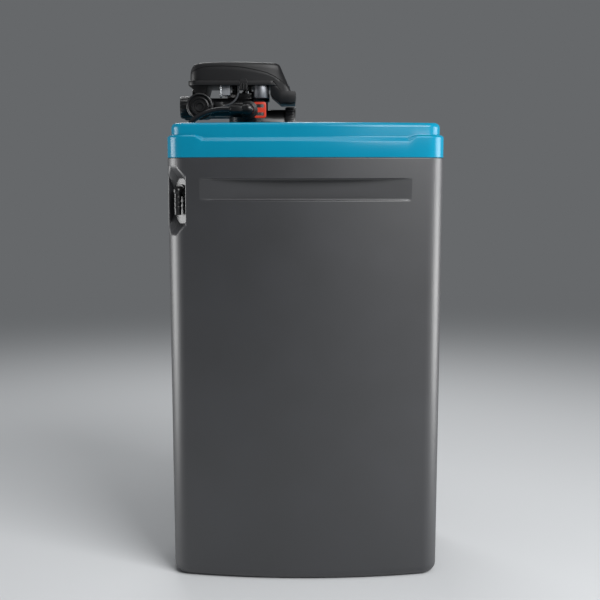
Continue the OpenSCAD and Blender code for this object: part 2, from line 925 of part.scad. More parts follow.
module vessel_foot() {
  foot_wall = 6;
  color("#17181A") difference() {
    z_cyl(vessel_r - foot_wall, floor_t, floor_t + foot_h, valve_x);
    z_cyl(foot_in, floor_t - 1, floor_t + foot_h + 1, valve_x);
    vessel_outer();
  }
}

module riser_tube() {
  color("#E8E8E6") difference() {
    z_cyl(riser_r, resin_z0 + distributor_h - riser_socket, neck_z + riser_up, valve_x);
    z_cyl(riser_r - riser_wall, resin_z0, neck_z + riser_up + 1, valve_x);
  }
}

module lower_distributor() {
  basket_up = 4;
  basket_wall = 3;
  basket_floor = 10;
  basket_neck = 16;
  slot_up = 16;
  slot_less = 38;
  slots = 12;
  z1 = resin_z0 + distributor_h;
  color("#D9DADC") difference() {
    z_cyl(distributor_r, resin_z0 + basket_up, z1, valve_x);
    z_cyl(distributor_r - basket_wall, resin_z0 + basket_floor, z1 - basket_neck, valve_x);
    z_cyl(riser_r, z1 - riser_socket, z1 + 1, valve_x);
    z_cyl(riser_r - riser_wall, z1 - basket_neck - 1, z1, valve_x);
    for (k = [0 : slots - 1]) {
      translate([valve_x, 0, resin_z0 + slot_up]) rotate([0, 0, 360 * k / slots])
        box(0, distributor_r + 1, -1, 1, 0, distributor_h - slot_less);
    }
  }
}

module upper_distributor() {
  cone_r = 27;
  cone_h = 30;
  z1 = spigot_z0;
  color("#D9DADC") difference() {
    z_cyl(cone_r, z1 - cone_h, z1, valve_x);
    z_cyl(riser_r + slide_gap, z1 - cone_h - 1, z1 + 1, valve_x);
  }
}

module resin_bed() {
  top = resin_z0 + resin_h;
  color("#A8622A") difference() {
    intersection() {
      vessel_inner();
      z_cyl(vessel_r, vessel_z0, top, valve_x);
    }
    z_cyl(riser_r, resin_z0, top + 1, valve_x);
    z_cyl(distributor_r, vessel_z0, resin_z0 + distributor_h, valve_x);
  }
}

module seal_ring() {
  seal_squash = 0.2;
  translate([valve_x, 0, neck_z - seal_drop]) rotate_extrude()
    translate([neck_bore - seal_r - seal_squash, 0]) circle(seal_r);
}

module neck_seal() {
  color("#222224") seal_ring();
}

// Turns children round the valve's axis
module on_valve(a) {
  translate([valve_x, 0, 0]) rotate([0, 0, a]) children();
}

// Valve body: spigot and collar on the vessel's neck, disc chamber above, ports around it
module valve_body() {
  duct_roof = 3;
  port_end = 40;
  color("#17181A") difference() {
    union() {
      z_cyl(neck_bore - slide_gap / 2, spigot_z0, neck_z + 1, valve_x);
      z_cyl(collar_r, neck_z, neck_z + collar_t, valve_x);
      z_cyl(body_r, neck_z, flange_z, valve_x);
      z_cyl(flange_r, flange_z - flange_t, flange_z, valve_x);
      for (s = [-1, 1]) {
        x_cyl(port_r, port_x0, port_x1, s * port_y, port_z);
        y_cyl(
          side_port_r, s > 0 ? 0 : -side_port_y, s > 0 ? side_port_y : 0,
          side_port_x, side_port_z
        );
      }
      x_cyl(barrel_r, valve_x, barrel_x1, 0, barrel_z);
    }
    seal_ring();
    z_cyl(riser_r, spigot_z0 - 1, neck_z + riser_up, valve_x);
    z_cyl(riser_r - riser_wall, neck_z + riser_up - 1, disc_floor - duct_roof, valve_x);
    z_cyl(disc_bore_r, disc_floor, flange_z + 1, valve_x);
    for (s = [-1, 1]) {
      x_cyl(port_bore, port_x0 - 1, valve_x - port_end, s * port_y, port_z);
      y_cyl(
        side_port_bore, s > 0 ? side_port_in_y : -side_port_y - 1, s > 0 ? side_port_y + 1 : -side_port_in_y,
        side_port_x, side_port_z
      );
      side_clip_slot(s);
    }
    x_cyl(barrel_bore, valve_x + injector_in, barrel_x1 + 1, 0, barrel_z);
    for (a = [0 : 90 : 359]) {
      on_valve(a) z_cyl(screw_r, flange_z - cap_screw_in, flange_z + 1, cap_screw_r);
    }
  }
}

// The slots in a side port that a port clip's two prongs pass through
module side_clip_slot(s) {
  y0 = s > 0 ? clip_y0 : -clip_y0 - clip_t;
  for (k = [-1, 1]) {
    z0 = side_port_z + (k > 0 ? clip_neck_r : -clip_half);
    box(side_port_x - clip_lead, clip_spine, y0, y0 + clip_t, z0, z0 + clip_half - clip_neck_r);
  }
}

module fixed_disc() {
  color("#ECE9E2") difference() {
    z_cyl(fixed_r, disc_floor, disc_floor + disc_t, valve_x);
    for (a = [30 : 60 : 359]) {
      on_valve(a) z_cyl(disc_port_r, disc_floor - 1, disc_floor + disc_t + 1, disc_port_at);
    }
  }
}

module moving_disc() {
  slot_far = 22;
  slot_near = 10;
  slot_half = 5;
  z0 = disc_floor + disc_t;
  color("#ECE9E2") difference() {
    z_cyl(moving_r, z0, z0 + moving_t, valve_x);
    z_cyl(disc_port_r, z0 - 1, z0 + moving_t + 1, valve_x + disc_port_at);
    box(valve_x - slot_far, valve_x - slot_near, -slot_half, slot_half, z0 - 1, z0 + moving_t + 1);
  }
}

module drive_shaft() {
  hub_r = 14;
  hub_h = 8;
  z0 = disc_floor + disc_t + moving_t;
  color("#D9DADC") {
    z_cyl(hub_r, z0, z0 + hub_h, valve_x);
    z_cyl(shaft_r, z0, high_z + high_t + 2, valve_x);
  }
}

module disc_cap() {
  color("#17181A") difference() {
    union() {
      z_cyl(flange_r, cap_z, cap_z + cap_t, valve_x);
      z_cyl(cap_hub_r, cap_z, cap_z + cap_t + cap_hub_h, valve_x);
    }
    z_cyl(shaft_r + run_fit, cap_z - 1, cap_z + cap_t + cap_hub_h + 1, valve_x);
    for (a = [0 : 90 : 359]) {
      on_valve(a) z_cyl(screw_r, cap_z - 1, cap_z + cap_t + 1, cap_screw_r);
    }
  }
}

module cap_screws() {
  color("#B9BCC0") for (a = [0 : 90 : 359]) {
    on_valve(a) difference() {
      union() {
        z_cyl(screw_r, flange_z - cap_screw_in, cap_z + cap_t + 1, cap_screw_r);
        z_cyl(screw_head_r, cap_z + cap_t, cap_z + cap_t + screw_head_h, cap_screw_r);
      }
      translate([cap_screw_r, 0, cap_z + cap_t + 1]) cylinder(r = screw_r, h = screw_head_h, $fn = 6);
    }
  }
}

// Involute gear outline, with its first tooth centred on a0
function inv_angle(rb, r) = r <= rb ? 0 : let (a = acos(rb / r)) tan(a) * 180 / PI - a;
function gear_points(n, a0) =
  let (
    rp = gear_pd(n) / 2,
    rbase = rp * cos(tooth_angle),
    tip = rp + gear_m * tooth_addendum,
    root = rp - gear_m * tooth_dedendum,
    half = 90 / n - tooth_backlash / 4 / rp * 180 / PI,
    radii = [root, max(root + 0.05, rbase), (rbase + rp) / 2 + 0.05, rp + 0.05, (rp + tip) / 2, tip],
    wide = [for (r = radii) half + inv_angle(rbase, rp) - inv_angle(rbase, r)]
  )
  [for (i = [0 : n - 1], k = [0 : 2 * len(radii) - 1])
    let (
      up = k < len(radii),
      j = up ? k : 2 * len(radii) - 1 - k,
      a = a0 + 360 * i / n + (up ? -wide[j] : wide[j])
    )
    radii[j] * [cos(a), sin(a)]];

module gear(n, a0, z0, t) {
  translate([0, 0, z0]) linear_extrude(t) polygon(gear_points(n, a0));
}

module main_gear() {
  hole_r = 4.5;
  hole_at = 17;
  hub_r = 10;
  color("#E4E2DA") translate([valve_x, 0, 0]) difference() {
    union() {
      gear(main_teeth, main_to_idler, high_z, high_t);
      z_cyl(hub_r, flange_top + 1, high_z + high_t);
    }
    z_cyl(shaft_r, flange_top, high_z + high_t + 1);
    for (a = [0 : 60 : 359]) {
      rotate([0, 0, a]) z_cyl(hole_r, high_z - 1, high_z + high_t + 1, hole_at);
    }
  }
}

module idler_gear() {
  color("#E4E2DA") translate([idler_at.x, idler_at.y, 0]) difference() {
    union() {
      gear(idler_big, idler_to_pinion, low_z, low_t);
      gear(idler_small, main_to_idler + 180 - 180 / idler_small, low_z + low_t - 1, high_t + 2);
    }
    z_cyl(axle_r + run_fit, low_z - 1, high_z + high_t + 2);
  }
}

module idler_axle() {
  color("#B9BCC0") {
    z_cyl(axle_r, base_z + base_t - axle_seat, high_z + high_t + 2, idler_at.x, idler_at.y);
    z_cyl(axle_r + 2, base_z + base_t, low_z - 0.5, idler_at.x, idler_at.y);
  }
}

module motor_pinion() {
  color("#D8B56A") translate([motor_x, motor_y, 0]) {
    gear(pinion_teeth, idler_to_pinion + 180 - 180 / pinion_teeth, low_z, low_t);
    z_cyl(motor_shaft_r, base_z - motor_shaft_in, low_z + low_t + 1);
  }
}

module drive_motor() {
  color("#C9CBCE") translate([motor_x, motor_y, 0]) difference() {
    union() {
      z_cyl(motor_r, base_z - motor_h, base_z);
      z_cyl(motor_boss_r, base_z - 1, base_z + base_t + 1);
    }
    z_cyl(motor_shaft_r + run_fit, base_z - motor_shaft_in - 1, base_z + base_t + 2);
  }
}

// Control base: a flanged plate on four legs, with a front chin and a rear skirt
module control_base() {
  slab_over = 9;
  web_back = 6;
  web_drop = 16;
  chin_back = 64;
  chin_lead = 60;
  chin_nose = 5;
  chin_wall = 4;
  skirt_drop = 14;
  skirt_slant = 12;
  skirt_low = 31;
  skirt_top = 35;
  skirt_over = 20;
  seam = 0.8;
  shaft_room = 5;
  rim_t = 3;
  chin_half = hood_half - 3;
  skirt_half = hood_half - 14;
  color("#1D1E21") difference() {
    union() {
      rounded_slab(base_x0, base_x1 + slab_over, -base_half, base_half, hood_plan_r, base_z, flange_top);
      side_prism(
        [[base_x1 - web_back, base_z], [base_x1, flange_top - 1], [valve_x + chin_back, chin_z],
          [chin_x1 - 1, chin_z], [chin_x1, chin_z - chin_nose], [chin_x1 - 2, chin_under + 1],
          [valve_x + chin_lead, chin_under], [base_x1 - web_back, base_z - web_drop]],
        -chin_half, chin_half
      );
      side_prism(
        [[base_x0, flange_top - 2], [base_x0 + skirt_slant, base_z - skirt_drop],
          [base_x0 + skirt_low, base_z - skirt_drop],
          [base_x0 + skirt_top, base_z + 1], [base_x0 + skirt_over, flange_top - 2]],
        -skirt_half, skirt_half
      );
      for (x = [-leg_at, leg_at], y = [-leg_at, leg_at]) {
        z_cyl(leg_r, cap_z + cap_t, base_z + 1, valve_x + x, y);
      }
    }
    rounded_slab(
      base_x0 + 2 * rim_t, base_x1 - rim_t, rim_t - hood_half, hood_half - rim_t, hood_plan_r - rim_t,
      base_z + base_t, flange_top + 1
    );
    side_prism(
      [[base_x1 + 1, flange_top + 1], [base_x1 - 1, flange_top - seam], [valve_x + chin_back - 1, chin_z],
        [chin_x1, chin_z], [chin_x1, flange_top + 1]],
      -base_half - 1, base_half + 1
    );
    side_prism(
      [[valve_x + chin_back + 2, chin_z + 1], [chin_x1 - chin_wall, chin_z + 1],
        [chin_x1 - chin_wall - 2, chin_under + chin_wall],
        [valve_x + chin_back, chin_under + chin_wall]],
      rim_t - chin_half, chin_half - rim_t
    );
    z_cyl(shaft_r + shaft_room, base_z - 1, base_z + base_t + 1, valve_x);
    z_cyl(motor_boss_r, base_z - 1, base_z + base_t + 1, motor_x, motor_y);
    z_cyl(axle_r, base_z + base_t - axle_seat, base_z + base_t + 1, idler_at.x, idler_at.y);
    x_cyl(inlet_body_r + seat_gap, base_x0 - 1, base_x0 + inlet_body_len, power_y, power_z);
    for (x = [-leg_at, leg_at], y = [-leg_at, leg_at]) {
      z_cyl(screw_r, base_z - screw_bite, base_z + base_t + 1, valve_x + x, y);
    }
    z_cyl(cable_r, base_z - 1, base_z + base_t - 1, cable_x, plug_y + cable_off);
  }
}

module base_screws() {
  color("#B9BCC0") for (x = [-leg_at, leg_at], y = [-leg_at, leg_at]) {
    z_cyl(screw_r, base_z - screw_bite, base_z + base_t + 1, valve_x + x, y);
    z_cyl(screw_head_r, base_z + base_t, base_z + base_t + 2, valve_x + x, y);
  }
}

module position_sensor() {
  sensor_back = 38;
  sensor_y = -46;
  sensor_l = 14;
  sensor_w = 16;
  sensor_h = 17;
  tip_r = 2;
  tip_h = 3;
  color("#8E9094") translate([valve_x - sensor_back, sensor_y, 0]) {
    box(-sensor_l / 2, sensor_l / 2, -sensor_w / 2, sensor_w / 2, base_z - sensor_h, base_z);
    z_cyl(tip_r, base_z - sensor_h - tip_h, base_z - sensor_h + 1, 0, 0);
  }
}

module power_inlet() {
  power_x = base_x0 + inlet_lip + 1;
  color("#2A2B2E") difference() {
    union() {
      x_cyl(inlet_body_r, power_x - 1, base_x0 + inlet_body_len, power_y, power_z);
      x_cyl(inlet_body_r + inlet_lip, base_x0 - 1, power_x, power_y, power_z);
    }
    x_cyl(power_bore, base_x0 - 2, base_x0 + power_depth, power_y, power_z);
  }
}

// Hood over the gears, with the sloping display face at the front
module hood_solid() {
  hood_below = 40;
  intersection() {
    side_prism(hood_profile, -hood_half, hood_half);
    rounded_slab(
      base_x0 + hood_step, face_low.x + 0.5, -hood_half, hood_half, hood_plan_r, chin_z, hood_top + 1
    );
    translate([base_x0, 0, 0]) rotate([90, 0, 90]) linear_extrude(chin_x1 - base_x0) {
      rounded_plan(-hood_half, hood_half, chin_z - hood_below, hood_top, hood_edge_r);
    }
  }
}

module hood_hollow() {
  skin = hood_wall + 0.5;
  back_x = base_x0 + hood_step + hood_wall;
  intersection() {
    side_prism(
      [[back_x, chin_z - 1], [back_x, hood_top - hood_edge_r],
        hood_profile[3] - [0, skin], hood_profile[5] - [0, skin + 0.5],
        hood_profile[6] - [0, skin],
        face_top - hood_wall * face_n - hood_wall * face_v,
        face_low - hood_wall * face_n - 2 * hood_wall * face_v],
      hood_wall - hood_half, hood_half - hood_wall
    );
    rounded_slab(
      back_x, face_low.x, hood_wall - hood_half, hood_half - hood_wall,
      hood_plan_r - hood_wall, chin_z - 2, hood_top + 1
    );
  }
}

// Places children on the display face: +X points out of it, Z runs up it
module on_face() {
  translate([face_mid.x, 0, face_mid.y]) rotate([0, -face_a, 0]) children();
}

function button_y(k) = button_pitch * (k - 1.5);

module valve_hood() {
  window_in = 4;
  window_up = 3;
  cut_deep = 9;
  button_room = 4 * run_fit;
  color("#17181A") difference() {
    hood_solid();
    hood_hollow();
    on_face() {
      box(-lens_t, 2, -lens_w / 2, lens_w / 2, lens_v - lens_h / 2, lens_v + lens_h / 2);
      box(
        -cut_deep, 2, window_in - lens_w / 2, lens_w / 2 - window_in,
        lens_v - lens_h / 2 + window_up, lens_v + lens_h / 2 - window_up
      );
      for (k = [0 : 3]) {
        x_cyl(button_r + button_room, -cut_deep, 2, button_y(k), button_v);
      }
    }
  }
}

module hood_latches() {
  latch_x = valve_x - 6;
  half = 7.5;
  latch_t = 2.5;
  drop = 8;
  up = 6;
  rib = 1.2;
  rib_pitch = 5;
  rib_out = 4;
  color("#17181A") for (s = [-1, 1]) {
    scale([1, s, 1]) {
      box(latch_x - half, latch_x + half, base_half, base_half + latch_t, base_z - drop, flange_top + up);
      box(latch_x - half, latch_x + half, hood_half, base_half + 1, flange_top, flange_top + up);
      for (k = [-1 : 1]) {
        box(
          latch_x + rib_pitch * k - rib, latch_x + rib_pitch * k + rib, base_half + 2, base_half + rib_out,
          base_z - drop + 1, flange_top - 1
        );
      }
    }
  }
}

module display_lens() {
  color("#0E2A33") on_face() box(
    -lens_t, 0, -lens_w / 2, lens_w / 2, lens_v - lens_h / 2, lens_v + lens_h / 2
  );
}

module display_module() {
  cell_in = 5;
  cell_up = 4;
  color("#9FB7A8") on_face() box(
    -board_back, -lens_t, cell_in - lens_w / 2, lens_w / 2 - cell_in,
    lens_v - lens_h / 2 + cell_up, lens_v + lens_h / 2 - cell_up
  );
}

module circuit_board() {
  post_in = 5;
  post_down = 8;
  post = 2.5;
  color("#1F6B45") on_face() {
    box(-board_back - board_t, -board_back, -board_w / 2, board_w / 2, -board_h / 2, board_h / 2);
    for (y = [post_in - board_w / 2, board_w / 2 - post_in]) {
      x_cyl(post, -board_back - eps, -hood_wall, y, board_h / 2 - post_down);
    }
  }
}

// Push button: a cap that stands out of the face, a flange behind it and a stem
module button(k) {
  lap = 0.1;
  stem_r = 2;
  stem_gap = 0.4;
  color("#3A3C40") on_face() {
    x_cyl(button_r, -hood_wall - 1, button_stand, button_y(k), button_v);
    x_cyl(button_flange_r, -hood_wall - 1 - button_flange_t, lap - hood_wall - 1, button_y(k), button_v);
    x_cyl(stem_r, stem_gap + button_travel - board_back, -hood_wall - 1, button_y(k), button_v);
  }
}

module button_1() {
  button(0);
}

module button_2() {
  button(1);
}

module button_3() {
  button(2);
}

module button_4() {
  button(3);
}

// Injector in the front barrel, under a knurled cap
module injector() {
  flange_x = valve_x + 40;
  flange_t = 6;
  jet_r = 3;
  jet_in = 30;
  hole_at = 15;
  hole_len = 20;
  color("#6E7073") difference() {
    union() {
      x_cyl(injector_r, valve_x + injector_in, barrel_x1 + injector_out, 0, barrel_z);
      x_cyl(barrel_bore - barrel_gap, flange_x, flange_x + flange_t, 0, barrel_z);
    }
    x_cyl(jet_r, valve_x + jet_in, barrel_x1 + injector_out + 1, 0, barrel_z);
    for (a = [0 : 60 : 359]) {
      translate([flange_x + flange_t / 2, 0, barrel_z]) rotate([a, 0, 0]) translate([0, hole_at, 0])
        rotate([0, 90, 0]) cylinder(r = jet_r, h = hole_len, center = true);
    }
  }
}

module injector_cap() {
  rib_in = 2;
  rib_half = 1.4;
  rib_h = 4;
  dish_in = 8;
  dish_deep = 6;
  ribs = 30;
  plug_x0 = barrel_x1 - 14;
  color("#1D1E21") difference() {
    union() {
      x_cyl(injector_cap_r - 1, barrel_x1, injector_cap_x1, 0, barrel_z);
      x_cyl(barrel_bore - barrel_gap, plug_x0, barrel_x1 + 1, 0, barrel_z);
      for (k = [0 : ribs - 1]) {
        translate([0, 0, barrel_z]) rotate([360 * k / ribs, 0, 0])
          box(
          barrel_x1 + rib_in, injector_cap_x1 - rib_in, -rib_half, rib_half,
          injector_cap_r - rib_h, injector_cap_r
        );
      }
    }
    x_cyl(injector_cap_r - dish_in, injector_cap_x1 - dish_deep, injector_cap_x1 + 1, 0, barrel_z);
    x_cyl(injector_r + slide_gap / 2, plug_x0 - 1, barrel_x1 + injector_out, 0, barrel_z);
  }
}

// Elbows in the two side ports: brine on the near side, drain on the far side
module elbow_body(s, x_end) {
  collar_t = 5;
  y = s * -elbow_y;
  y_cyl(
    side_port_bore - slide_gap / 4, s > 0 ? side_port_in_y : y, s > 0 ? y : -side_port_in_y,
    side_port_x, side_port_z
  );
  y_cyl(
    elbow_collar_r, s > 0 ? side_port_y : -side_port_y - collar_t,
    s > 0 ? side_port_y + collar_t : -side_port_y,
    side_port_x, side_port_z
  );
  y_cyl(
    elbow_r + 1, s > 0 ? side_port_y : y, s > 0 ? y : -side_port_y, side_port_x, side_port_z
  );
  translate([side_port_x, y, side_port_z]) sphere(elbow_r + 1);
  x_cyl(elbow_r, x_end, side_port_x, y, side_port_z);
}

module elbow_cuts(s, x_end) {
  y = s * -elbow_y;
  y_cyl(elbow_bore, s > 0 ? side_port_in_y - 1 : y, s > 0 ? y : 1 - side_port_in_y, side_port_x, side_port_z);
  x_cyl(elbow_bore, x_end - 1, side_port_x, y, side_port_z);
  side_clip_slot(s);
}

module brine_elbow() {
  x_end = nut_end + nut_len;
  color("#17181A") difference() {
    union() {
      elbow_body(-1, x_end);
      x_cyl(stub_r, x_end - stub_len + seat_gap, x_end + 1, elbow_y, side_port_z);
    }
    elbow_cuts(-1, x_end);
    x_cyl(tube_r, x_end - stub_len - 1, x_end, elbow_y, side_port_z);
  }
}

module tube_nut() {
  nut_lip = 3;
  x1 = nut_end + nut_len;
  color("#1D1E21") difference() {
    union() {
      x_hex(tube_nut_r + 1, nut_end + nut_lip, x1 - seat_gap, elbow_y, tube_z);
      x_cyl(tube_nut_r - 1, nut_end, nut_end + nut_lip + 1, elbow_y, tube_z);
    }
    x_cyl(tube_r, nut_end - 1, x1 + 1, elbow_y, tube_z);
    x_cyl(stub_r + seat_gap, x1 - stub_len, x1 + 1, elbow_y, tube_z);
  }
}

module drain_elbow() {
  barb_neck = 16;
  barb_x = side_port_x - 46;
  color("#17181A") difference() {
    union() {
      elbow_body(1, side_port_x - barb_neck);
      x_cyl(stub_r, barb_x, side_port_x - barb_neck + 1, -elbow_y, side_port_z);
      for (k = [0 : 2]) {
        translate([barb_x + spigot_plain + barb_pitch * k, -elbow_y, side_port_z]) rotate([0, 90, 0])
          cylinder(r1 = stub_r, r2 = stub_r + barb_h, h = barb_pitch - 2);
      }
    }
    elbow_cuts(1, barb_x);
  }
}

// Port clips: a spine with two prongs that lock an elbow in its port
module port_clips() {
  back_t = 4;
  tongue_len = 9;
  tongue_half = 3;
  color("#C8402F") for (s = [-1, 1]) {
    y0 = s > 0 ? clip_y0 : -clip_y0 - clip_t;
    box(clip_spine - back_t, clip_spine, y0, y0 + clip_t, side_port_z - clip_half, side_port_z + clip_half);
    box(
      clip_spine - tongue_len, clip_spine - back_t + 1, y0, y0 + clip_t,
      side_port_z - tongue_half, side_port_z + tongue_half
    );
    for (k = [-1, 1]) {
      z0 = side_port_z + (k > 0 ? clip_neck_r : -clip_half);
      box(
        side_port_x - clip_lead, clip_spine - back_t + 1, y0, y0 + clip_t, z0, z0 + clip_half - clip_neck_r
      );
    }
  }
}

// Flow meter in the near port
module meter_turbine() {
  blade_half = 0.8;
  blades = 6;
  color("#D8DADD") translate([turbine_x0, -port_y, port_z]) rotate([0, 90, 0]) difference() {
    union() {
      z_cyl(turbine_hub, 0, turbine_len);
      for (k = [0 : blades - 1]) {
        rotate([0, 0, 360 * k / blades]) box(0, turbine_r, -blade_half, blade_half, 1, turbine_len - 1);
      }
    }
    z_cyl(turbine_axle_r + run_fit, -1, turbine_len + 1);
  }
}

module turbine_axle() {
  arm_t = 1.6;
  color("#B9BCC0") {
    x_cyl(
      turbine_axle_r, turbine_x0 - spider_t - 0.5, turbine_x0 + turbine_len + spider_t + 0.5,
      -port_y, port_z
    );
    for (x = [turbine_x0 - spider_t - 0.5, turbine_x0 + turbine_len + 0.5]) {
      translate([x, -port_y, port_z]) rotate([90, 0, 90]) linear_extrude(spider_t) {
        circle(turbine_hub);
        for (a = [90, 210, 330]) {
          rotate(a) translate([0, -arm_t / 2]) square([port_bore - seat_gap, arm_t]);
        }
      }
    }
  }
}

module meter_plug() {
  half_w = 4;
  half_h = 6;
  nose_r = 3.2;
  nose_len = 4;
  color("#1D1E21") difference() {
    union() {
      box(
        plug_x - plug_half, plug_x + plug_half, plug_y - half_w, -port_y - port_r + 1,
        plug_z - half_h, plug_z + half_h
      );
      x_cyl(nose_r, plug_x + plug_half - 1, plug_x + plug_half - 1 + nose_len, plug_y + cable_off, plug_z);
    }
    x_cyl(port_r, plug_x - plug_half - 1, plug_x + plug_half + 1, -port_y, port_z);
    x_cyl(cable_r, plug_x + 1, plug_x + plug_half + nose_len, plug_y + cable_off, plug_z);
  }
}

module meter_cable() {
  y = plug_y + 4;
  color("#1B1C1E") {
    x_cyl(cable_r, plug_x + 1, plug_x + plug_half, y, plug_z);
    bend(plug_x + plug_half, y, plug_z + cable_bend, cable_bend, cable_r, 270, 90);
    z_cyl(cable_r, plug_z + cable_bend, base_z + base_t - 1, cable_x, y);
  }
}

// Bypass: two through pipes, a cross barrel with a spool, and a knob on the near end
module bypass_body() {
  color("#17181A") difference() {
    union() {
      for (s = [-1, 1]) {
        x_cyl(port_r, bypass_x0, bypass_x1, s * port_y, port_z);
      }
      y_cyl(cross_r, -cross_half, cross_half, spool_x, port_z);
    }
    for (s = [-1, 1]) {
      x_cyl(bypass_bore, bypass_x0 - 1, bypass_x1 + 1, s * port_y, port_z);
    }
    y_cyl(spool_r, -cross_half - 1, cross_half - spool_floor, spool_x, port_z);
  }
}

module bypass_spool() {
  color("#8E9094") difference() {
    y_cyl(spool_r - run_fit, -cross_half - 2, cross_half - spool_floor - 1, spool_x, port_z);
    for (s = [-1, 1]) {
      x_cyl(bypass_bore, spool_x - cross_r, spool_x + cross_r, s * port_y, port_z);
    }
  }
}

module bypass_knob() {
  rim_w = 3.5;
  groove_deep = 6;
  hub_in = 8;
  bar_in = 4;
  bar_half = 3;
  y0 = -cross_half - knob_t;
  y1 = -cross_half - slide_gap;
  color("#1D1E21") difference() {
    union() {
      difference() {
        y_cyl(knob_r, y0 + 2, y1, spool_x, port_z);
        difference() {
          y_cyl(knob_r - rim_w, y0 - 1, y0 + groove_deep, spool_x, port_z);
          y_cyl(knob_r - hub_in, y0, y0 + groove_deep + 1, spool_x, port_z);
        }
      }
      box(
        spool_x - knob_r + bar_in, spool_x + knob_r - bar_in, y0, y1 - bar_half,
        port_z - bar_half, port_z + bar_half
      );
    }
    y_cyl(spool_r - run_fit, -cross_half - 2, y1 + 1, spool_x, port_z);
  }
}

module union_nuts() {
  rib_in = 2;
  rib_half = 1.5;
  rib_h = 4;
  ribs = 18;
  color("#1D1E21") for (s = [-1, 1]) {
    difference() {
      union() {
        x_cyl(nut_r - 1, nut_x0, nut_x1, s * port_y, port_z);
        for (k = [0 : ribs - 1]) {
          translate([0, s * port_y, port_z]) rotate([360 * k / ribs, 0, 0])
            box(nut_x0 + rib_in, nut_x1 - rib_in, -rib_half, rib_half, nut_r - rib_h, nut_r);
        }
      }
      x_cyl(port_r, nut_x0 + nut_wall, nut_x1 + 1, s * port_y, port_z);
      x_cyl(tail_r + seat_gap, nut_x0 - 1, bypass_x0, s * port_y, port_z);
    }
  }
}

// Sockets for the house pipes, held in the nuts by their flanges
module pipe_tails() {
  color("#D8B56A") for (s = [-1, 1]) {
    difference() {
      union() {
        x_cyl(tail_r, nut_x0, bypass_x0 - seal_t, s * port_y, port_z);
        x_cyl(tail_flange_r, nut_x0 + nut_wall, bypass_x0 - seal_t, s * port_y, port_z);
      }
      x_cyl(pipe_r, nut_x0 - 1, bypass_x0 - seal_t - pipe_stop, s * port_y, port_z);
      x_cyl(pipe_r - pipe_stop, nut_x0, bypass_x0, s * port_y, port_z);
    }
  }
}

module union_seals() {
  color("#222224") for (s = [-1, 1]) {
    difference() {
      x_cyl(tail_flange_r, bypass_x0 - seal_t, bypass_x0, s * port_y, port_z);
      x_cyl(bypass_bore, bypass_x0 - seal_t - 1, bypass_x0 + 1, s * port_y, port_z);
    }
  }
}

cabinet_tub();
top_cover();
salt_hatch();
hatch_pins();
overflow_elbow();
overflow_gasket();
overflow_nut();
brine_well();
well_cap();
brine_tube();
brine_inlet();
float_rod();
brine_float();
resin_vessel();
vessel_foot();
resin_bed();
riser_tube();
lower_distributor();
upper_distributor();
neck_seal();
valve_body();
fixed_disc();
moving_disc();
drive_shaft();
disc_cap();
cap_screws();
main_gear();
idler_gear();
idler_axle();
motor_pinion();
drive_motor();
control_base();
valve_hood();
hood_latches();
display_lens();
display_module();
circuit_board();
button_1();
button_2();
button_3();
button_4();
position_sensor();
base_screws();
power_inlet();
injector();
injector_cap();
brine_elbow();
tube_nut();
drain_elbow();
port_clips();
meter_turbine();
turbine_axle();
meter_plug();
meter_cable();
bypass_body();
bypass_spool();
bypass_knob();
union_nuts();
pipe_tails();
union_seals();
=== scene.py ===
# %% [markdown]
# # A cabinet water softener
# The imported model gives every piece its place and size. This lesson gives the pieces their
# finish: smooth moulded shells over the faceted ones, rounded edges, and a material for
# each plastic, metal and rubber. Nothing is moved and nothing is resized.

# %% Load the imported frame
import json
import math
import bpy
from mathutils import Matrix, Vector


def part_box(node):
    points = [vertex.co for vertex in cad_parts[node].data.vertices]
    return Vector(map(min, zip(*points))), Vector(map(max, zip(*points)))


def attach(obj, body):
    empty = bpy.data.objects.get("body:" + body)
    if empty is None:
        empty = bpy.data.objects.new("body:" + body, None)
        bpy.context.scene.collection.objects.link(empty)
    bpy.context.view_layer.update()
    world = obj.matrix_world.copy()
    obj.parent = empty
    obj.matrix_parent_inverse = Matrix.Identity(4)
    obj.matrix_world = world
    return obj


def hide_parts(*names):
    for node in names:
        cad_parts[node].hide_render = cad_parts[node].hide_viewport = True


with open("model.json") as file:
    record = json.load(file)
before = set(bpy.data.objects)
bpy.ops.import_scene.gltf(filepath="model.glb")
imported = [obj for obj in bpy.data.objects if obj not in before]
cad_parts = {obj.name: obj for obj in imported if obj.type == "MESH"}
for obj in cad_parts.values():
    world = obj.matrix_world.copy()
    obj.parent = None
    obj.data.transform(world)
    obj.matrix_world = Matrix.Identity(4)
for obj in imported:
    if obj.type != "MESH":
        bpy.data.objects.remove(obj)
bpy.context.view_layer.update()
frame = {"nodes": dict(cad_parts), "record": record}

MM = 0.001
nodes = frame["nodes"]

# %% [markdown]
# ## The camera
# The picture looks at the long side from about the lid's height, through a long lens, so the
# sides hardly converge. A 65 mm lens about 2 m away, tipped down by 6.7 degrees, gives the
# same lines.

# %% Camera
LENS_MM = 65.25
FILM_MM = 36
CAMERA_AT = Vector((-9.7, -2045, 723)) * MM
TIPPED_DOWN = math.radians(6.7)

bpy.ops.object.select_all(action="DESELECT")
bpy.ops.object.camera_add(location=CAMERA_AT, rotation=(math.pi / 2 - TIPPED_DOWN, 0, 0))
camera = bpy.context.object
camera.data.lens = LENS_MM
camera.data.sensor_width = FILM_MM
scene = bpy.context.scene
scene.camera = camera
scene.view_settings.view_transform = "Standard"
print("camera at", [round(c, 3) for c in camera.location])

# %% [markdown]
# ## Materials: one helper
# A material is a small net of nodes. One function adds a node, sets it and links it, so that
# each finish below reads as a list of what it is made of. Colours are written as they look
# on a screen, and one function turns them to the linear values that the renderer wants.


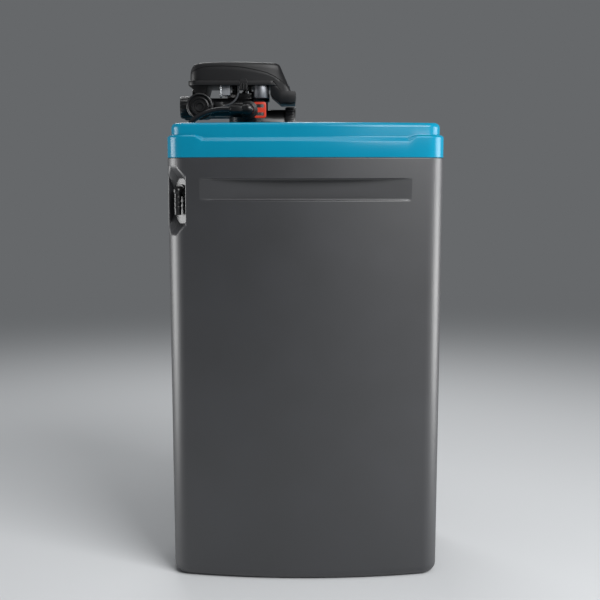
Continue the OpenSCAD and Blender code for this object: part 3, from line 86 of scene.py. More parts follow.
# %% Helpers for materials
def linear(hex_colour):
    """A screen colour such as 0D8AAE as linear red, green, blue and alpha."""
    parts = [int(hex_colour[k:k + 2], 16) / 255 for k in (0, 2, 4)]
    low = [p / 12.92 for p in parts]
    high = [((p + 0.055) / 1.055) ** 2.4 for p in parts]
    return [a if p <= 0.04045 else b for p, a, b in zip(parts, low, high)] + [1]


def add(tree, kind, settings=(), links=()):
    """Adds a node; settings name its properties or inputs, links name inputs and outputs."""
    node = tree.nodes.new(kind)
    for name, value in dict(settings).items():
        if name in node.inputs:
            node.inputs[name].default_value = value
        else:
            setattr(node, name, value)
    for name, output in dict(links).items():
        tree.links.new(output, node.inputs[name])
    return node


def new_material(name, **shader_values):
    """A material with its shader's own sockets set, and its tree and shader."""
    material = bpy.data.materials.new(name)
    material.use_nodes = True
    shader = material.node_tree.nodes["Principled BSDF"]
    for socket, value in shader_values.items():
        shader.inputs[socket.replace("_", " ")].default_value = value
    return material, material.node_tree, shader


def moulded(name, dark, light, patch_mm, rough, grain_mm, bump_mm, stretch=(1, 1, 1), **shader_values):
    """A moulded surface: cloudy colour in patches, roughness that varies with them, and grain."""
    material, tree, shader = new_material(name, **shader_values)
    place = add(tree, "ShaderNodeTexCoord")
    turn = add(tree, "ShaderNodeMapping", {"Scale": stretch}, {"Vector": place.outputs["Object"]})
    cloud = add(
        tree, "ShaderNodeTexNoise", {"Scale": 1 / (patch_mm * MM), "Detail": 4},
        {"Vector": turn.outputs["Vector"]},
    )
    colour = add(tree, "ShaderNodeValToRGB", links={"Fac": cloud.outputs["Fac"]})
    colour.color_ramp.elements[0].position = 0.3
    colour.color_ramp.elements[0].color = linear(dark)
    colour.color_ramp.elements[1].position = 0.7
    colour.color_ramp.elements[1].color = linear(light)
    dull = add(
        tree, "ShaderNodeMapRange", {"To Min": rough[0], "To Max": rough[1]},
        {"Value": cloud.outputs["Fac"]},
    )
    grain = add(
        tree, "ShaderNodeTexNoise", {"Scale": 1 / (grain_mm * MM), "Detail": 2},
        {"Vector": turn.outputs["Vector"]},
    )
    bump = add(
        tree, "ShaderNodeBump", {"Strength": 1, "Distance": bump_mm * MM}, {"Height": grain.outputs["Fac"]}
    )
    tree.links.new(colour.outputs["Color"], shader.inputs["Base Color"])
    tree.links.new(dull.outputs["Result"], shader.inputs["Roughness"])
    tree.links.new(bump.outputs["Normal"], shader.inputs["Normal"])
    return material


# %% [markdown]
# ## The studio
# A pale floor fades into a plain grey surround, which hides the horizon. The key lamp is a
# soft box high in front on the right: its broad reflection gives the long side a slow change
# from dark to light, and it leaves the top of the hand grip in shadow. Two tall boxes beside
# the cabinet draw the bright strips down its corners; they are kept off the floor, which
# would glare beside them. One box above draws the line of the lid, and one lights the back.

# %% Floor, surround and lamps
SURROUND = "66686A"
PAPER = "D2D4D6"
FLOOR_SIZE = 40
FADE_FROM = 1.2
FADE_TO = 4.5
world = bpy.data.worlds.new("grey_surround")
world.use_nodes = True
world.node_tree.nodes["Background"].inputs["Color"].default_value = linear(SURROUND)
scene.world = world

bpy.ops.mesh.primitive_plane_add(size=FLOOR_SIZE)
floor = bpy.context.object
floor.name = "studio_floor"
paper, tree, shader = new_material("studio_paper", Roughness=0.9)
shader.inputs["Base Color"].default_value = linear(PAPER)
place = add(tree, "ShaderNodeTexCoord")
reach = add(tree, "ShaderNodeVectorMath", {"operation": "LENGTH"}, {"Vector": place.outputs["Object"]})
softly = {"From Min": FADE_FROM, "From Max": FADE_TO, "interpolation_type": "SMOOTHSTEP"}
fade = add(tree, "ShaderNodeMapRange", softly, {"Value": reach.outputs["Value"]})
far = add(tree, "ShaderNodeEmission", {"Color": linear(SURROUND)})
ends = {"Fac": fade.outputs["Result"], 1: shader.outputs["BSDF"], 2: far.outputs["Emission"]}
mixed = add(tree, "ShaderNodeMixShader", links=ends)
tree.links.new(mixed.outputs["Shader"], tree.nodes["Material Output"].inputs["Surface"])
floor.data.materials.append(paper)


def soft_box(name, at, aim, width, height, watts):
    """A rectangular lamp that faces a point and isn't seen by the camera itself."""
    bpy.ops.object.light_add(type="AREA", location=at)
    lamp = bpy.context.object
    lamp.name = name
    lamp.data.shape = "RECTANGLE"
    lamp.data.size = width
    lamp.data.size_y = height
    lamp.data.energy = watts
    lamp.rotation_euler = (Vector(aim) - Vector(at)).to_track_quat("-Z", "Y").to_euler()
    lamp.visible_camera = False
    return lamp


soft_box("key_box", (1.35, -1.9, 2.0), (0, 0, 0.5), 1.8, 1.4, 88)
left_box = soft_box("left_box", (-1.45, -0.05, 0.54), (-0.2, -0.05, 0.5), 0.65, 1.05, 16)
right_box = soft_box("right_box", (1.45, -0.05, 0.54), (0.2, -0.05, 0.5), 0.7, 1.05, 20)
soft_box("top_box", (-0.1, -0.3, 2.5), (0, -0.15, 0.8), 1.7, 0.7, 9)
soft_box("back_box", (-0.4, 1.9, 2.2), (0, 0, 0.7), 1.2, 0.8, 22)
shaded = bpy.data.collections.new("shaded_from_sides")
shaded.objects.link(floor)
shaded.collection_objects[0].light_linking.link_state = "EXCLUDE"
for lamp in (left_box, right_box):
    lamp.light_linking.receiver_collection = shaded

# %% [markdown]
# ## The finishes
# The tub is roto-moulded polyethylene: matt, a little waxy, with a fine grain. The cover is
# injection-moulded ABS with a high gloss. The valve is black glass-filled nylon and ABS.
# Inside are a fibre-wound vessel, resin beads, natural polypropylene, ceramic discs and
# acetal gears.

# %% Plastics
tub_grey = moulded(
    "grey_polyethylene", "1D1E21", "212226", 90, (0.42, 0.48), 0.9, 0.03, Specular_IOR_Level=1.0
)
cover_teal = moulded(
    "teal_gloss_abs", "007795", "027D9C", 120, (0.2, 0.26), 2.5, 0.01, Specular_IOR_Level=0.3
)
hood_black = moulded(
    "black_satin_abs", "0A0A0C", "0E0E10", 40, (0.42, 0.5), 0.5, 0.02, Specular_IOR_Level=0.35
)
fitting_black = moulded(
    "black_glass_filled_nylon", "09090A", "0E0E10", 25, (0.26, 0.4), 0.4, 0.03, Specular_IOR_Level=0.5
)
clip_red = moulded("red_acetal", "C23524", "D0452F", 15, (0.25, 0.35), 0.5, 0.01, Specular_IOR_Level=0.5)
natural_white = moulded("natural_polypropylene", "CFD0CE", "DDDEDB", 60, (0.35, 0.5), 0.8, 0.02)
gear_ivory = moulded("ivory_acetal", "D9D6CB", "E6E3D8", 20, (0.3, 0.4), 0.5, 0.01)
key_grey = moulded("grey_silicone", "34363A", "3E4045", 8, (0.5, 0.6), 0.3, 0.01)
tube_black = moulded(
    "black_polythene_tube", "111113", "18181A", 30, (0.1, 0.14), 1.5, 0.01, Specular_IOR_Level=0.7
)
cable_grey = moulded("grey_pvc_cable", "3A3B3E", "46474A", 20, (0.25, 0.35), 0.8, 0.01)
seal_rubber = moulded("black_rubber", "141415", "1C1C1E", 12, (0.6, 0.75), 0.4, 0.02)
sensor_grey = moulded("grey_polycarbonate", "77797D", "85878B", 15, (0.3, 0.4), 0.4, 0.01)

# %% Metals, ceramic and the rest
steel = moulded("stainless_steel", "A9ACB0", "BFC2C5", 6, (0.22, 0.34), 0.2, 0.005, Metallic=1)
# The motor's steel is rougher than the stainless steel. Its colour is also darkened: that darkness is
# painted shade, standing in for the shade under the base plate.
motor_steel = moulded("dull_steel_with_painted_shade", "6E7074", "808286", 12, (0.42, 0.55), 0.3, 0.005, Metallic=1)
brass = moulded("brass", "B98E45", "CFA75C", 8, (0.22, 0.32), 0.3, 0.005, Metallic=1)
ceramic = moulded("alumina_ceramic", "E4E0D6", "ECE9E1", 10, (0.12, 0.2), 0.5, 0.004)
beads = moulded("amber_resin_beads", "7E431A", "B8733A", 3, (0.3, 0.5), 0.9, 0.4)
wound = moulded(
    "blue_fibre_wound_polyester", "27527E", "37689A", 30, (0.3, 0.45), 3.0, 0.15, stretch=(1, 1, 8)
)
board_green = moulded("green_circuit_board", "14583A", "1E7048", 6, (0.25, 0.4), 0.5, 0.01)
lens_smoke = moulded("smoked_polycarbonate", "060A0B", "0A0F11", 30, (0.05, 0.09), 2.0, 0.002)
glass_cell = moulded("grey_display_cell", "6F8378", "8AA094", 25, (0.1, 0.2), 1.0, 0.002)

FINISH = {
    tub_grey: ["cabinet_tub"],
    cover_teal: ["top_cover", "salt_hatch"],
    hood_black: ["valve_hood", "control_base", "hood_latches"],
    fitting_black: [
        "valve_body", "disc_cap", "bypass_body", "bypass_knob", "union_nuts", "injector_cap", "brine_elbow",
        "tube_nut", "drain_elbow", "meter_plug", "overflow_elbow", "overflow_nut", "well_cap", "vessel_foot",
        "power_inlet",
    ],
    clip_red: ["port_clips"],
    natural_white: [
        "brine_well", "brine_inlet", "float_rod", "brine_float", "riser_tube", "lower_distributor",
        "upper_distributor", "drive_shaft", "meter_turbine",
    ],
    gear_ivory: ["main_gear", "idler_gear"],
    key_grey: ["button_1", "button_2", "button_3", "button_4"],
    tube_black: ["brine_tube"],
    cable_grey: ["meter_cable"],
    seal_rubber: ["overflow_gasket", "neck_seal", "union_seals"],
    sensor_grey: ["position_sensor", "injector", "bypass_spool"],
    steel: ["hatch_pins", "cap_screws", "base_screws", "idler_axle", "turbine_axle"],
    motor_steel: ["drive_motor"],
    brass: ["motor_pinion", "pipe_tails"],
    ceramic: ["fixed_disc", "moving_disc"],
    beads: ["resin_bed"],
    wound: ["resin_vessel"],
    board_green: ["circuit_board"],
    lens_smoke: ["display_lens"],
    glass_cell: ["display_module"],
}
for material, names in FINISH.items():
    for name in names:
        nodes[name].data.materials.clear()
        nodes[name].data.materials.append(material)
print("nodes with a finish:", sum(len(names) for names in FINISH.values()), "of", len(nodes))

# %% [markdown]
# ## Hose and cable
# The brine hose is a stiff polythene tube of 9.5 mm. It leaves its nut level, bends over the
# rear well in two easy arcs and drops to the foot of the brine well. The meter's cable leaves
# its plug, turns up and goes into the base plate. Each is one line with a round section. Both
# are seen from end to end, so a cord's length is the length of its line.

# %% Hose and cable
HOSE_MM = 9.5
HOSE_Y = -80
HOSE_START = [(-120, 835), (-132, 835)]
HOSE_EASY = ((-144, 745), 90)
HOSE_TIGHT = ((-175.2, 786.6), 38)
HOSE_MEET = 126.87
HOSE_DROP_X = -213.2
HOSE_DROP_Z = (720, 640, 540, 440, 340, 240, 140, 46)
CABLE_MM = 3.4
CABLE_Y = -59
CABLE_START = (-154, 842)
CABLE_TURN = ((-148, 870), 28)
CABLE_END = (-120, 881)
BEND_STEPS = 12
CABLE_STEPS = 14
CORD_SIDES = 6


def arc(centre, radius, start, end, steps):
    """Places in the X-Z plane along an arc, between two angles in degrees."""
    turns = [math.radians(start + (end - start) * k / steps) for k in range(steps + 1)]
    return [(centre[0] + radius * math.cos(a), centre[1] + radius * math.sin(a)) for a in turns]


def cord_line(node, places, depth, diameter, finish):
    """A round cord along places in millimetres, at one depth, that stands for its node."""
    path = [Vector((x, depth, z)) * MM for x, z in places]
    bpy.ops.object.select_all(action="DESELECT")
    bpy.ops.curve.primitive_nurbs_path_add()
    piece = bpy.context.object
    piece.name = node + "_line"
    piece.data.splines.clear()
    line = piece.data.splines.new("POLY")
    line.points.add(len(path) - 1)
    for spot, place in zip(line.points, path):
        spot.co = (*place, 1)
    line.use_smooth = True
    piece.data.bevel_depth = diameter / 2 * MM
    piece.data.bevel_resolution = CORD_SIDES
    piece.data.use_fill_caps = True
    piece.data.materials.append(finish)
    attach(piece, "frame")
    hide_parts(node)


over_well = arc(*HOSE_EASY, 90, HOSE_MEET, BEND_STEPS) + arc(*HOSE_TIGHT, HOSE_MEET, 180, BEND_STEPS)[1:]
drop = [(HOSE_DROP_X, z) for z in HOSE_DROP_Z]
cord_line("brine_tube", HOSE_START + over_well + drop, HOSE_Y, HOSE_MM, tube_black)
rise = arc(*CABLE_TURN, 270, 360, CABLE_STEPS)
cord_line("meter_cable", [CABLE_START] + rise + [CABLE_END], CABLE_Y, CABLE_MM, cable_grey)

# %% [markdown]
# ## The cabinet's plan
# Seen from above, the tub is a rectangle with bulged sides and ends and round corners. Each
# station on that line keeps the centre, radius and direction of its arc, so that a ring set
# in by any amount is still made of true arcs. The sides have extra stations where the
# cover's ledge dips and at the hand grips' ends, so that edges can turn exactly there.

# %% Stations round the plan
SIDE_R = 1000 * MM
END_R = 900 * MM
CORNER_R = 40 * MM
WALL = 4 * MM
DRAFT = 4 * MM
RIM_ROUND = 1.6 * MM
DIP_HALF = 177 * MM
DIP_SLANT = 14 * MM
GRIP_HALF = 185 * MM
GRIP_END = 183.4 * MM
SIDE_STEP = 3.5 * MM
END_STEPS = 10
CORNER_STEPS = 14

half_depth, half_width, rim_z = [round(c / MM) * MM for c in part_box("cabinet_tub")[1]]
side_centre = Vector((0, half_width - SIDE_R))
end_centre = Vector((half_depth - END_R, 0))
between = end_centre - side_centre
to_side = SIDE_R - CORNER_R
to_end = END_R - CORNER_R
along = (to_side ** 2 - to_end ** 2 + between.length_squared) / (2 * between.length)
aside = math.sqrt(to_side ** 2 - along ** 2)
unit = between.normalized()
corner_centre = side_centre + along * unit + aside * Vector((unit.y, -unit.x))
corner_from = math.atan2(corner_centre.y, corner_centre.x - end_centre.x)
corner_to = math.atan2(corner_centre.y - side_centre.y, corner_centre.x)

side_end = SIDE_R * math.cos(corner_to)
side_count = round(side_end / SIDE_STEP)
side_x = {side_end * k / side_count for k in range(side_count + 1)}
side_x |= {DIP_HALF, DIP_HALF + DIP_SLANT, GRIP_END}
corner_turn = (corner_to - corner_from) / CORNER_STEPS
quarter = [(end_centre, END_R, corner_from * k / END_STEPS) for k in range(END_STEPS)]
quarter += [(corner_centre, CORNER_R, corner_from + corner_turn * k) for k in range(CORNER_STEPS)]
quarter += [(side_centre, SIDE_R, math.acos(x / SIDE_R)) for x in sorted(side_x, reverse=True)]


def mirrored(station, flip_x, flip_y):
    """A station of the first quarter, in another quarter of the plan."""
    centre, radius, angle = station
    direction = (math.cos(angle) * flip_x, math.sin(angle) * flip_y)
    return Vector((centre.x * flip_x, centre.y * flip_y)), radius, Vector(direction)


stations = [mirrored(s, 1, 1) for s in quarter[:-1]]
stations += [mirrored(s, -1, 1) for s in quarter[:0:-1]]
stations += [mirrored(s, -1, -1) for s in quarter[:-1]]
stations += [mirrored(s, 1, -1) for s in quarter[:0:-1]]


def plan_ring(z, inset):
    """One closed ring of the plan at a height, set in from the outline."""
    return [(*(centre + (radius - inset) * way), z) for centre, radius, way in stations]


print("stations round the plan:", len(stations))

# %% [markdown]
# ## Solids from rings
# A grid of quads is wrapped round like a sheet of paper through a stack of rings, its seam
# is merged and its two ends are filled. The same helper makes the shells and the tools that
# cut them.


# %% Helpers for solids
MERGE = 0.002 * MM
SHARP = 35


def alone(piece):
    """Makes a piece the only one selected, and the active one."""
    bpy.ops.object.select_all(action="DESELECT")
    piece.select_set(True)
    bpy.context.view_layer.objects.active = piece


def wrapped(name, rings):
    """A closed solid through rings of points that all have the same count."""
    bpy.ops.object.select_all(action="DESELECT")
    bpy.ops.mesh.primitive_grid_add(x_subdivisions=len(rings[0]), y_subdivisions=len(rings) - 1, size=1)
    piece = bpy.context.object
    piece.name = name
    points = [point for ring in rings for point in ring + ring[:1]]
    piece.data.vertices.foreach_set("co", [c for point in points for c in point])
    bpy.ops.object.mode_set(mode="EDIT")
    bpy.ops.mesh.select_all(action="SELECT")
    bpy.ops.mesh.remove_doubles(threshold=MERGE)
    bpy.ops.mesh.fill_holes(sides=0)
    bpy.ops.mesh.normals_make_consistent(inside=False)
    bpy.ops.object.mode_set(mode="OBJECT")
    return piece


def combine(piece, tool, operation="DIFFERENCE"):
    """Cuts a tool from a piece, or joins it to the piece, and removes the tool."""
    alone(piece)
    change = piece.modifiers.new("combine", "BOOLEAN")
    change.object = tool
    change.operation = operation
    change.solver = "MANIFOLD"
    bpy.ops.object.modifier_apply(modifier=change.name)
    bpy.data.objects.remove(tool)


def block_ring(low, high, radius, grow, z, steps=8):
    """A ring round a rectangle with round corners, grown by a margin."""
    ring = []
    corners = ((high[0], high[1], 0), (low[0], high[1], 90), (low[0], low[1], 180), (high[0], low[1], 270))
    for x, y, start in corners:
        cx = x - math.copysign(radius, x - (low[0] + high[0]) / 2)
        cy = y - math.copysign(radius, y - (low[1] + high[1]) / 2)
        for k in range(steps + 1):
            angle = math.radians(start + 90 * k / steps)
            ring.append((cx + (radius + grow) * math.cos(angle), cy + (radius + grow) * math.sin(angle), z))
    return ring


def block(name, low, high, radius, levels):
    """A solid with round upright corners; levels are pairs of height and growth."""
    return wrapped(name, [block_ring(low, high, radius, grow, z) for z, grow in levels])


def drum(name, centre, radius, z0, z1, steps=96):
    """An upright round tool for cutting holes."""
    turns = [math.tau * k / steps for k in range(steps)]
    ring = [(centre[0] + radius * math.cos(a), centre[1] + radius * math.sin(a)) for a in turns]
    return wrapped(name, [[(*p, z0) for p in ring], [(*p, z1) for p in ring]])


def finish_piece(piece, node, body, finish, sharp=SHARP):
    """Smooths a piece's curves, gives it its finish and lets it stand for its CAD node."""
    alone(piece)
    bpy.ops.object.shade_smooth_by_angle(angle=math.radians(sharp))
    piece.data.materials.clear()
    piece.data.materials.append(finish)
    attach(piece, body)
    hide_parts(node)
    print(piece.name, "faces:", len(piece.data.polygons))


# %% [markdown]
# ## The brine tub
# The tub is one deep moulding. Its walls lean in by a few millimetres towards the floor and
# its bottom edge is well rounded. Each long side has a flat hand grip cut into its bulge,
# and one rear corner has a pocket for the overflow spigot. The outside is one stack of
# rings, where the rings at the grips are pressed flat; the inside is a second stack that is
# cut out of it.

# %% Tub rings
FOOT_ROUND = 16 * MM
FLOOR_T = 6 * MM
GRIP_TOP = 712 * MM
GRIP_FLOOR = 675 * MM
LIP = 1.5 * MM
NOOK = 2.5 * MM
ROUND_STEPS = 6
KNEE = 1 - math.sqrt(0.5)
PRESS_SHARE = 0.4
WALL_ROWS = (60, 150, 300, 450, 600, 660)
BROW_ROWS = (725, 738)
ON_LINE = 0.3 * MM
grip_plane = side_centre.y + math.sqrt(SIDE_R ** 2 - GRIP_HALF ** 2)


def lean(z):
    """How far the wall stands in at a height."""
    return DRAFT * (1 - z / rim_z)


def pressed_ring(z, inset, plane, near=None, far=None):
    """A ring whose long sides are pressed in: by near, or to far short of the grip's plane."""
    ring = []
    for x, y, level in plan_ring(z, inset):
        room = max(0, abs(y) - plane)
        most = PRESS_SHARE * room
        depth = min(near, most) if far is None else room - min(far, most)
        ring.append((x, math.copysign(abs(y) - depth, y), level))
    return ring


def tub_outside():
    """The tub as if it were solid, with its two hand grips."""
    rings = []
    for k in range(ROUND_STEPS + 1):
        angle = math.pi / 2 * k / ROUND_STEPS
        z = FOOT_ROUND * (1 - math.cos(angle))
        rings.append(plan_ring(z, lean(z) + FOOT_ROUND * (1 - math.sin(angle))))
    rings += [plan_ring(z * MM, lean(z * MM)) for z in WALL_ROWS]
    floor_rows = [(-2 * LIP, 0, None), (-LIP, 0, None), (-LIP * KNEE, LIP * KNEE, None), (0, LIP, None)]
    floor_rows += [(0, None, NOOK), (NOOK * KNEE, None, NOOK * KNEE), (NOOK, None, 0), (NOOK + LIP, None, 0)]
    for rise, near, far in floor_rows:
        z = GRIP_FLOOR + rise
        rings.append(pressed_ring(z, lean(z), grip_plane, near, far))
    for rise, near, far in reversed(floor_rows):
        z = GRIP_TOP - rise
        rings.append(pressed_ring(z, lean(z), grip_plane, near, far))
    rings += [plan_ring(z * MM, lean(z * MM)) for z in BROW_ROWS]
    for k in range(ROUND_STEPS + 1):
        angle = math.pi / 2 * k / ROUND_STEPS
        z = rim_z - RIM_ROUND * (1 - math.sin(angle))
        rings.append(plan_ring(z, lean(z) + RIM_ROUND * (1 - math.cos(angle))))
    return wrapped("cabinet_tub_shell", rings)


def tub_inside():
    """The space inside the tub, as a tool."""
    bend = 10 * MM
    plane = grip_plane - WALL
    low = GRIP_FLOOR - WALL
    high = GRIP_TOP + WALL
    rings = [plan_ring(FLOOR_T, WALL + lean(FLOOR_T) + bend), plan_ring(FLOOR_T + bend, WALL + lean(0))]
    for z, far in ((low, None), (low, 0), (high, 0), (high, None)):
        rings.append(pressed_ring(z, WALL + lean(z), plane, 0, far))
    rings.append(plan_ring(rim_z + WALL, WALL))
    return wrapped("tub_inside", rings)


def crease(piece, on_line):
    """Marks the edges along a line of points as sharp, so that light breaks there."""
    alone(piece)
    for edge in piece.data.edges:
        edge.select = all(on_line(piece.data.vertices[k].co) for k in edge.vertices)
    bpy.ops.object.mode_set(mode="EDIT")
    bpy.ops.mesh.select_mode(type="EDGE")
    bpy.ops.mesh.mark_sharp()
    bpy.ops.object.mode_set(mode="OBJECT")


# %% [markdown]
# The pocket is drawn along the corner's diagonal. Its outline is a tall rectangle with cut
# corners. The outline's front follows the corner's curve and flares out, which gives the
# opening its rounded edge, and its back is shorter, so the floor and ceiling slope. A round
# hole in the back takes the overflow elbow.

# %% Corner pocket
POCKET_HALF = 23 * MM
POCKET_DEPTH = 20 * MM
POCKET_TOP = rim_z - 16 * MM
POCKET_BOTTOM = POCKET_TOP - 118 * MM
POCKET_CUT = 16 * MM
RIM_R = 4 * MM
RIM_STEPS = 5
RIM_TURN = math.radians(75)
RIM_OUT = 1.45 * RIM_R
RIM_PROUD = 0.15 * RIM_R
OVERFLOW_Z = POCKET_TOP - 41 * MM
OVERFLOW_HOLE = 8 * MM
BORE_STEPS = 48
EDGE_STEPS = 8
pocket_angle = math.pi + (corner_from + corner_to) / 2
pocket_out = Vector((math.cos(pocket_angle), math.sin(pocket_angle)))
pocket_side = Vector((-pocket_out.y, pocket_out.x))


def pocket_outline(grow, shorten):
    """The pocket's eight-sided outline as sideways and upright distances, finely divided."""
    half = POCKET_HALF + grow
    cut = POCKET_CUT + grow / 2
    low = POCKET_BOTTOM - grow + shorten
    high = POCKET_TOP + grow - shorten
    points = [(half, low + cut), (half, high - cut), (half - cut, high), (cut - half, high)]
    points += [(-half, high - cut), (-half, low + cut), (cut - half, low), (half - cut, low)]
    outline = []
    for k, point in enumerate(points):
        following = points[(k + 1) % len(points)]
        for j in range(EDGE_STEPS):
            part = j / EDGE_STEPS
            outline.append(tuple(a + (b - a) * part for a, b in zip(point, following)))
    return outline


def pocket_ring(grow, shorten, reach=None, proud=0):
    """The outline in space: flat at one reach, or along the corner's curve and proud of it."""
    ring = []
    for side, z in pocket_outline(grow, shorten):
        out = reach if reach is not None else math.sqrt(CORNER_R ** 2 - side ** 2) + proud
        spot = -corner_centre + out * pocket_out + side * pocket_side
        ring.append((spot.x, spot.y, z))
    return ring


def pocket_tool(grow):
    """The pocket as a tool; grown by the wall, it is the pocket's back seen from inside."""
    back = CORNER_R - POCKET_DEPTH - grow
    rings = [pocket_ring(grow, POCKET_DEPTH, reach=back)]
    if grow:
        rings.append(pocket_ring(grow, 0, reach=CORNER_R + grow))
    else:
        for k in range(RIM_STEPS + 1):
            angle = RIM_TURN * k / RIM_STEPS
            below = RIM_R * (1 - math.sin(angle))
            rings.append(pocket_ring(RIM_R * (1 - math.cos(angle)), below, proud=-below))
        rings.append(pocket_ring(RIM_OUT, -RIM_PROUD, proud=RIM_PROUD))
        rings.append(pocket_ring(RIM_OUT, -RIM_PROUD, reach=CORNER_R + 2 * RIM_R))
    return wrapped("pocket", rings)


def overflow_bore():
    """The overflow elbow's hole through the back of the pocket, as a tool."""
    turns = [math.tau * k / BORE_STEPS for k in range(BORE_STEPS)]
    circle = [(OVERFLOW_HOLE * math.cos(a), OVERFLOW_HOLE * math.sin(a)) for a in turns]
    rings = []
    for reach in (0, CORNER_R):
        middle = -corner_centre + reach * pocket_out
        spots = [(middle + side * pocket_side, rise) for side, rise in circle]
        rings.append([(spot.x, spot.y, OVERFLOW_Z + rise) for spot, rise in spots])
    return wrapped("overflow_bore", rings)


def on_grip_end(p):
    """Whether a point is on an upright end line of a hand grip."""
    return abs(abs(p.x) - GRIP_END) < ON_LINE and GRIP_FLOOR < p.z < GRIP_TOP and abs(p.y) > grip_plane / 2


tub = tub_outside()
hollow = tub_inside()
combine(hollow, pocket_tool(WALL))
combine(tub, hollow)
combine(tub, pocket_tool(0))
combine(tub, overflow_bore())
finish_piece(tub, "cabinet_tub", "frame", tub_grey)
crease(tub, on_grip_end)

# %% [markdown]
# ## The top cover
# The cover is a glossy moulding in two tiers. On each long side the ledge between the tiers
# dips and slopes, which draws the long light line of the side view. The rear half of the
# deck is a deep well for the valve, and the front half has a framed opening for the salt
# hatch. The tools that cut the well and the hatch seat flare at the top, so their edges come
# out rounded.

# %% Cover rings
DECK_Z = round(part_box("top_cover")[1].z / MM) * MM
TIER_STEP = 7 * MM
DECK_ROUND = 8 * MM
SKIRT_TOP = 771 * MM
STEP_TOP = 779 * MM
CLEAR_UP = 5 * MM
FLARE = 0.5 * MM
LEDGE_PROFILE = ((782.6, 0), (783.6, 0.12), (784.3, 0.7), (786.2, 2.6), (786.9, 3.6), (787, 4.6), (787, 6.2),
                 (787.3, 6.8), (788.2, 7))
DIP_PROFILE = ((774.2, 0), (775.3, 0.25), (776, 0.8), (778.4, 2.9), (779.4, 3.8), (780.6, 4.9), (782.2, 6.3),
               (783, 6.85), (784.2, 7))


def ledge_ring(ledge_spot, dip_spot):
    """A ring that drops from the ledge's profile to the dip's along each long side."""
    ring = []
    for centre, radius, way in stations:
        x = abs(centre.x + radius * way.x)
        on_side = radius == SIDE_R
        dip = min(1, max(0, (DIP_HALF + DIP_SLANT - x) / DIP_SLANT)) if on_side else 0
        z, inset = [(a + (b - a) * dip) * MM for a, b in zip(ledge_spot, dip_spot)]
        ring.append((*(centre + (radius - inset) * way), z))
    return ring


def cover_outside():
    """The cover as if it were solid."""
    rings = []
    for k in range(ROUND_STEPS + 1):
        angle = math.pi / 2 * k / ROUND_STEPS
        rings.append(plan_ring(rim_z + RIM_ROUND * (1 - math.cos(angle)), RIM_ROUND * (1 - math.sin(angle))))
    rings += [ledge_ring(ledge, dip) for ledge, dip in zip(LEDGE_PROFILE, DIP_PROFILE)]
    for k in range(ROUND_STEPS + 1):
        angle = math.pi / 2 * k / ROUND_STEPS
        z = DECK_Z - DECK_ROUND * (1 - math.sin(angle))
        rings.append(plan_ring(z, TIER_STEP + DECK_ROUND * (1 - math.cos(angle))))
    return wrapped("top_cover_shell", rings)


def cover_inside():
    """The space under the cover's skin, as a tool."""
    soft = 3 * MM
    inner = TIER_STEP + WALL
    levels = [(rim_z - WALL, WALL), (SKIRT_TOP, WALL), (STEP_TOP, inner)]
    levels += [(DECK_Z - WALL - soft, inner), (DECK_Z - WALL, inner + soft)]
    return wrapped("cover_inside", [plan_ring(z, inset) for z, inset in levels])


def seat(name, low, high, radius, floor_z, lip, nook):
    """A tool for a recess in the deck, with a round lip at the top and a round nook below."""
    levels = []
    for k in range(ROUND_STEPS + 1):
        angle = math.pi / 2 * k / ROUND_STEPS
        levels.append((floor_z + nook * (1 - math.cos(angle)), -nook * (1 - math.sin(angle))))
    for k in range(ROUND_STEPS + 1):
        angle = math.pi / 2 * k / ROUND_STEPS
        levels.append((DECK_Z - lip * (1 - math.sin(angle)), lip * (1 - math.cos(angle))))
    levels.append((DECK_Z + CLEAR_UP, lip + FLARE))
    return block(name, low, high, radius, levels)


# %% Rear well and hatch opening
WELL_LOW = Vector((-230, -142)) * MM
WELL_HIGH = Vector((-8, 142)) * MM
WELL_R = 24 * MM
WELL_FLOOR = DECK_Z - 35 * MM
WELL_UNDER = WELL_FLOOR - 3 * MM
WELL_LIP = 3 * MM
WELL_NOOK = 5 * MM
NECK_AT = Vector((-105, 0)) * MM
NECK_HOLE = 53 * MM
BRINE_AT = Vector((-204, -86)) * MM
BRINE_HOLE = 23.5 * MM
HINGE_X = 20 * MM
HATCH_T = 5 * MM
HATCH_END = 228 * MM
HATCH_HALF = 140 * MM
HATCH_R = 14 * MM
GAP = 0.5 * MM
BARREL_HALF = 130 * MM
CHEEK_X = HINGE_X + 7 * MM
CHEEK_OUT = 5 * MM
CHEEK_UP = 9 * MM
CHEEK_R = 0.5 * MM
SLACK = 1 * MM
SEAT_LIP = 0.8 * MM
SEAT_NOOK = 0.3 * MM
FRAME_LOW = (4 * MM, -150 * MM)
FRAME_HIGH = (238 * MM, 150 * MM)
FRAME_DEEP = 13 * MM
THROAT_IN = 9 * MM
THROAT_DEEP = 20 * MM
NOTCH_HALF = 35 * MM
NOTCH_IN = 4 * MM
NOTCH_OUT = 7 * MM
NOTCH_R = 5 * MM
NOTCH_DEEP = 3 * MM
NOTCH_LIP = 1.2 * MM
NOTCH_NOOK = 2 * MM
hinge_z = DECK_Z - HATCH_T


def grown(low, high, margin):
    """A rectangle's two corners, moved out by a margin."""
    out = Vector((margin, margin))
    return Vector(low) - out, Vector(high) + out


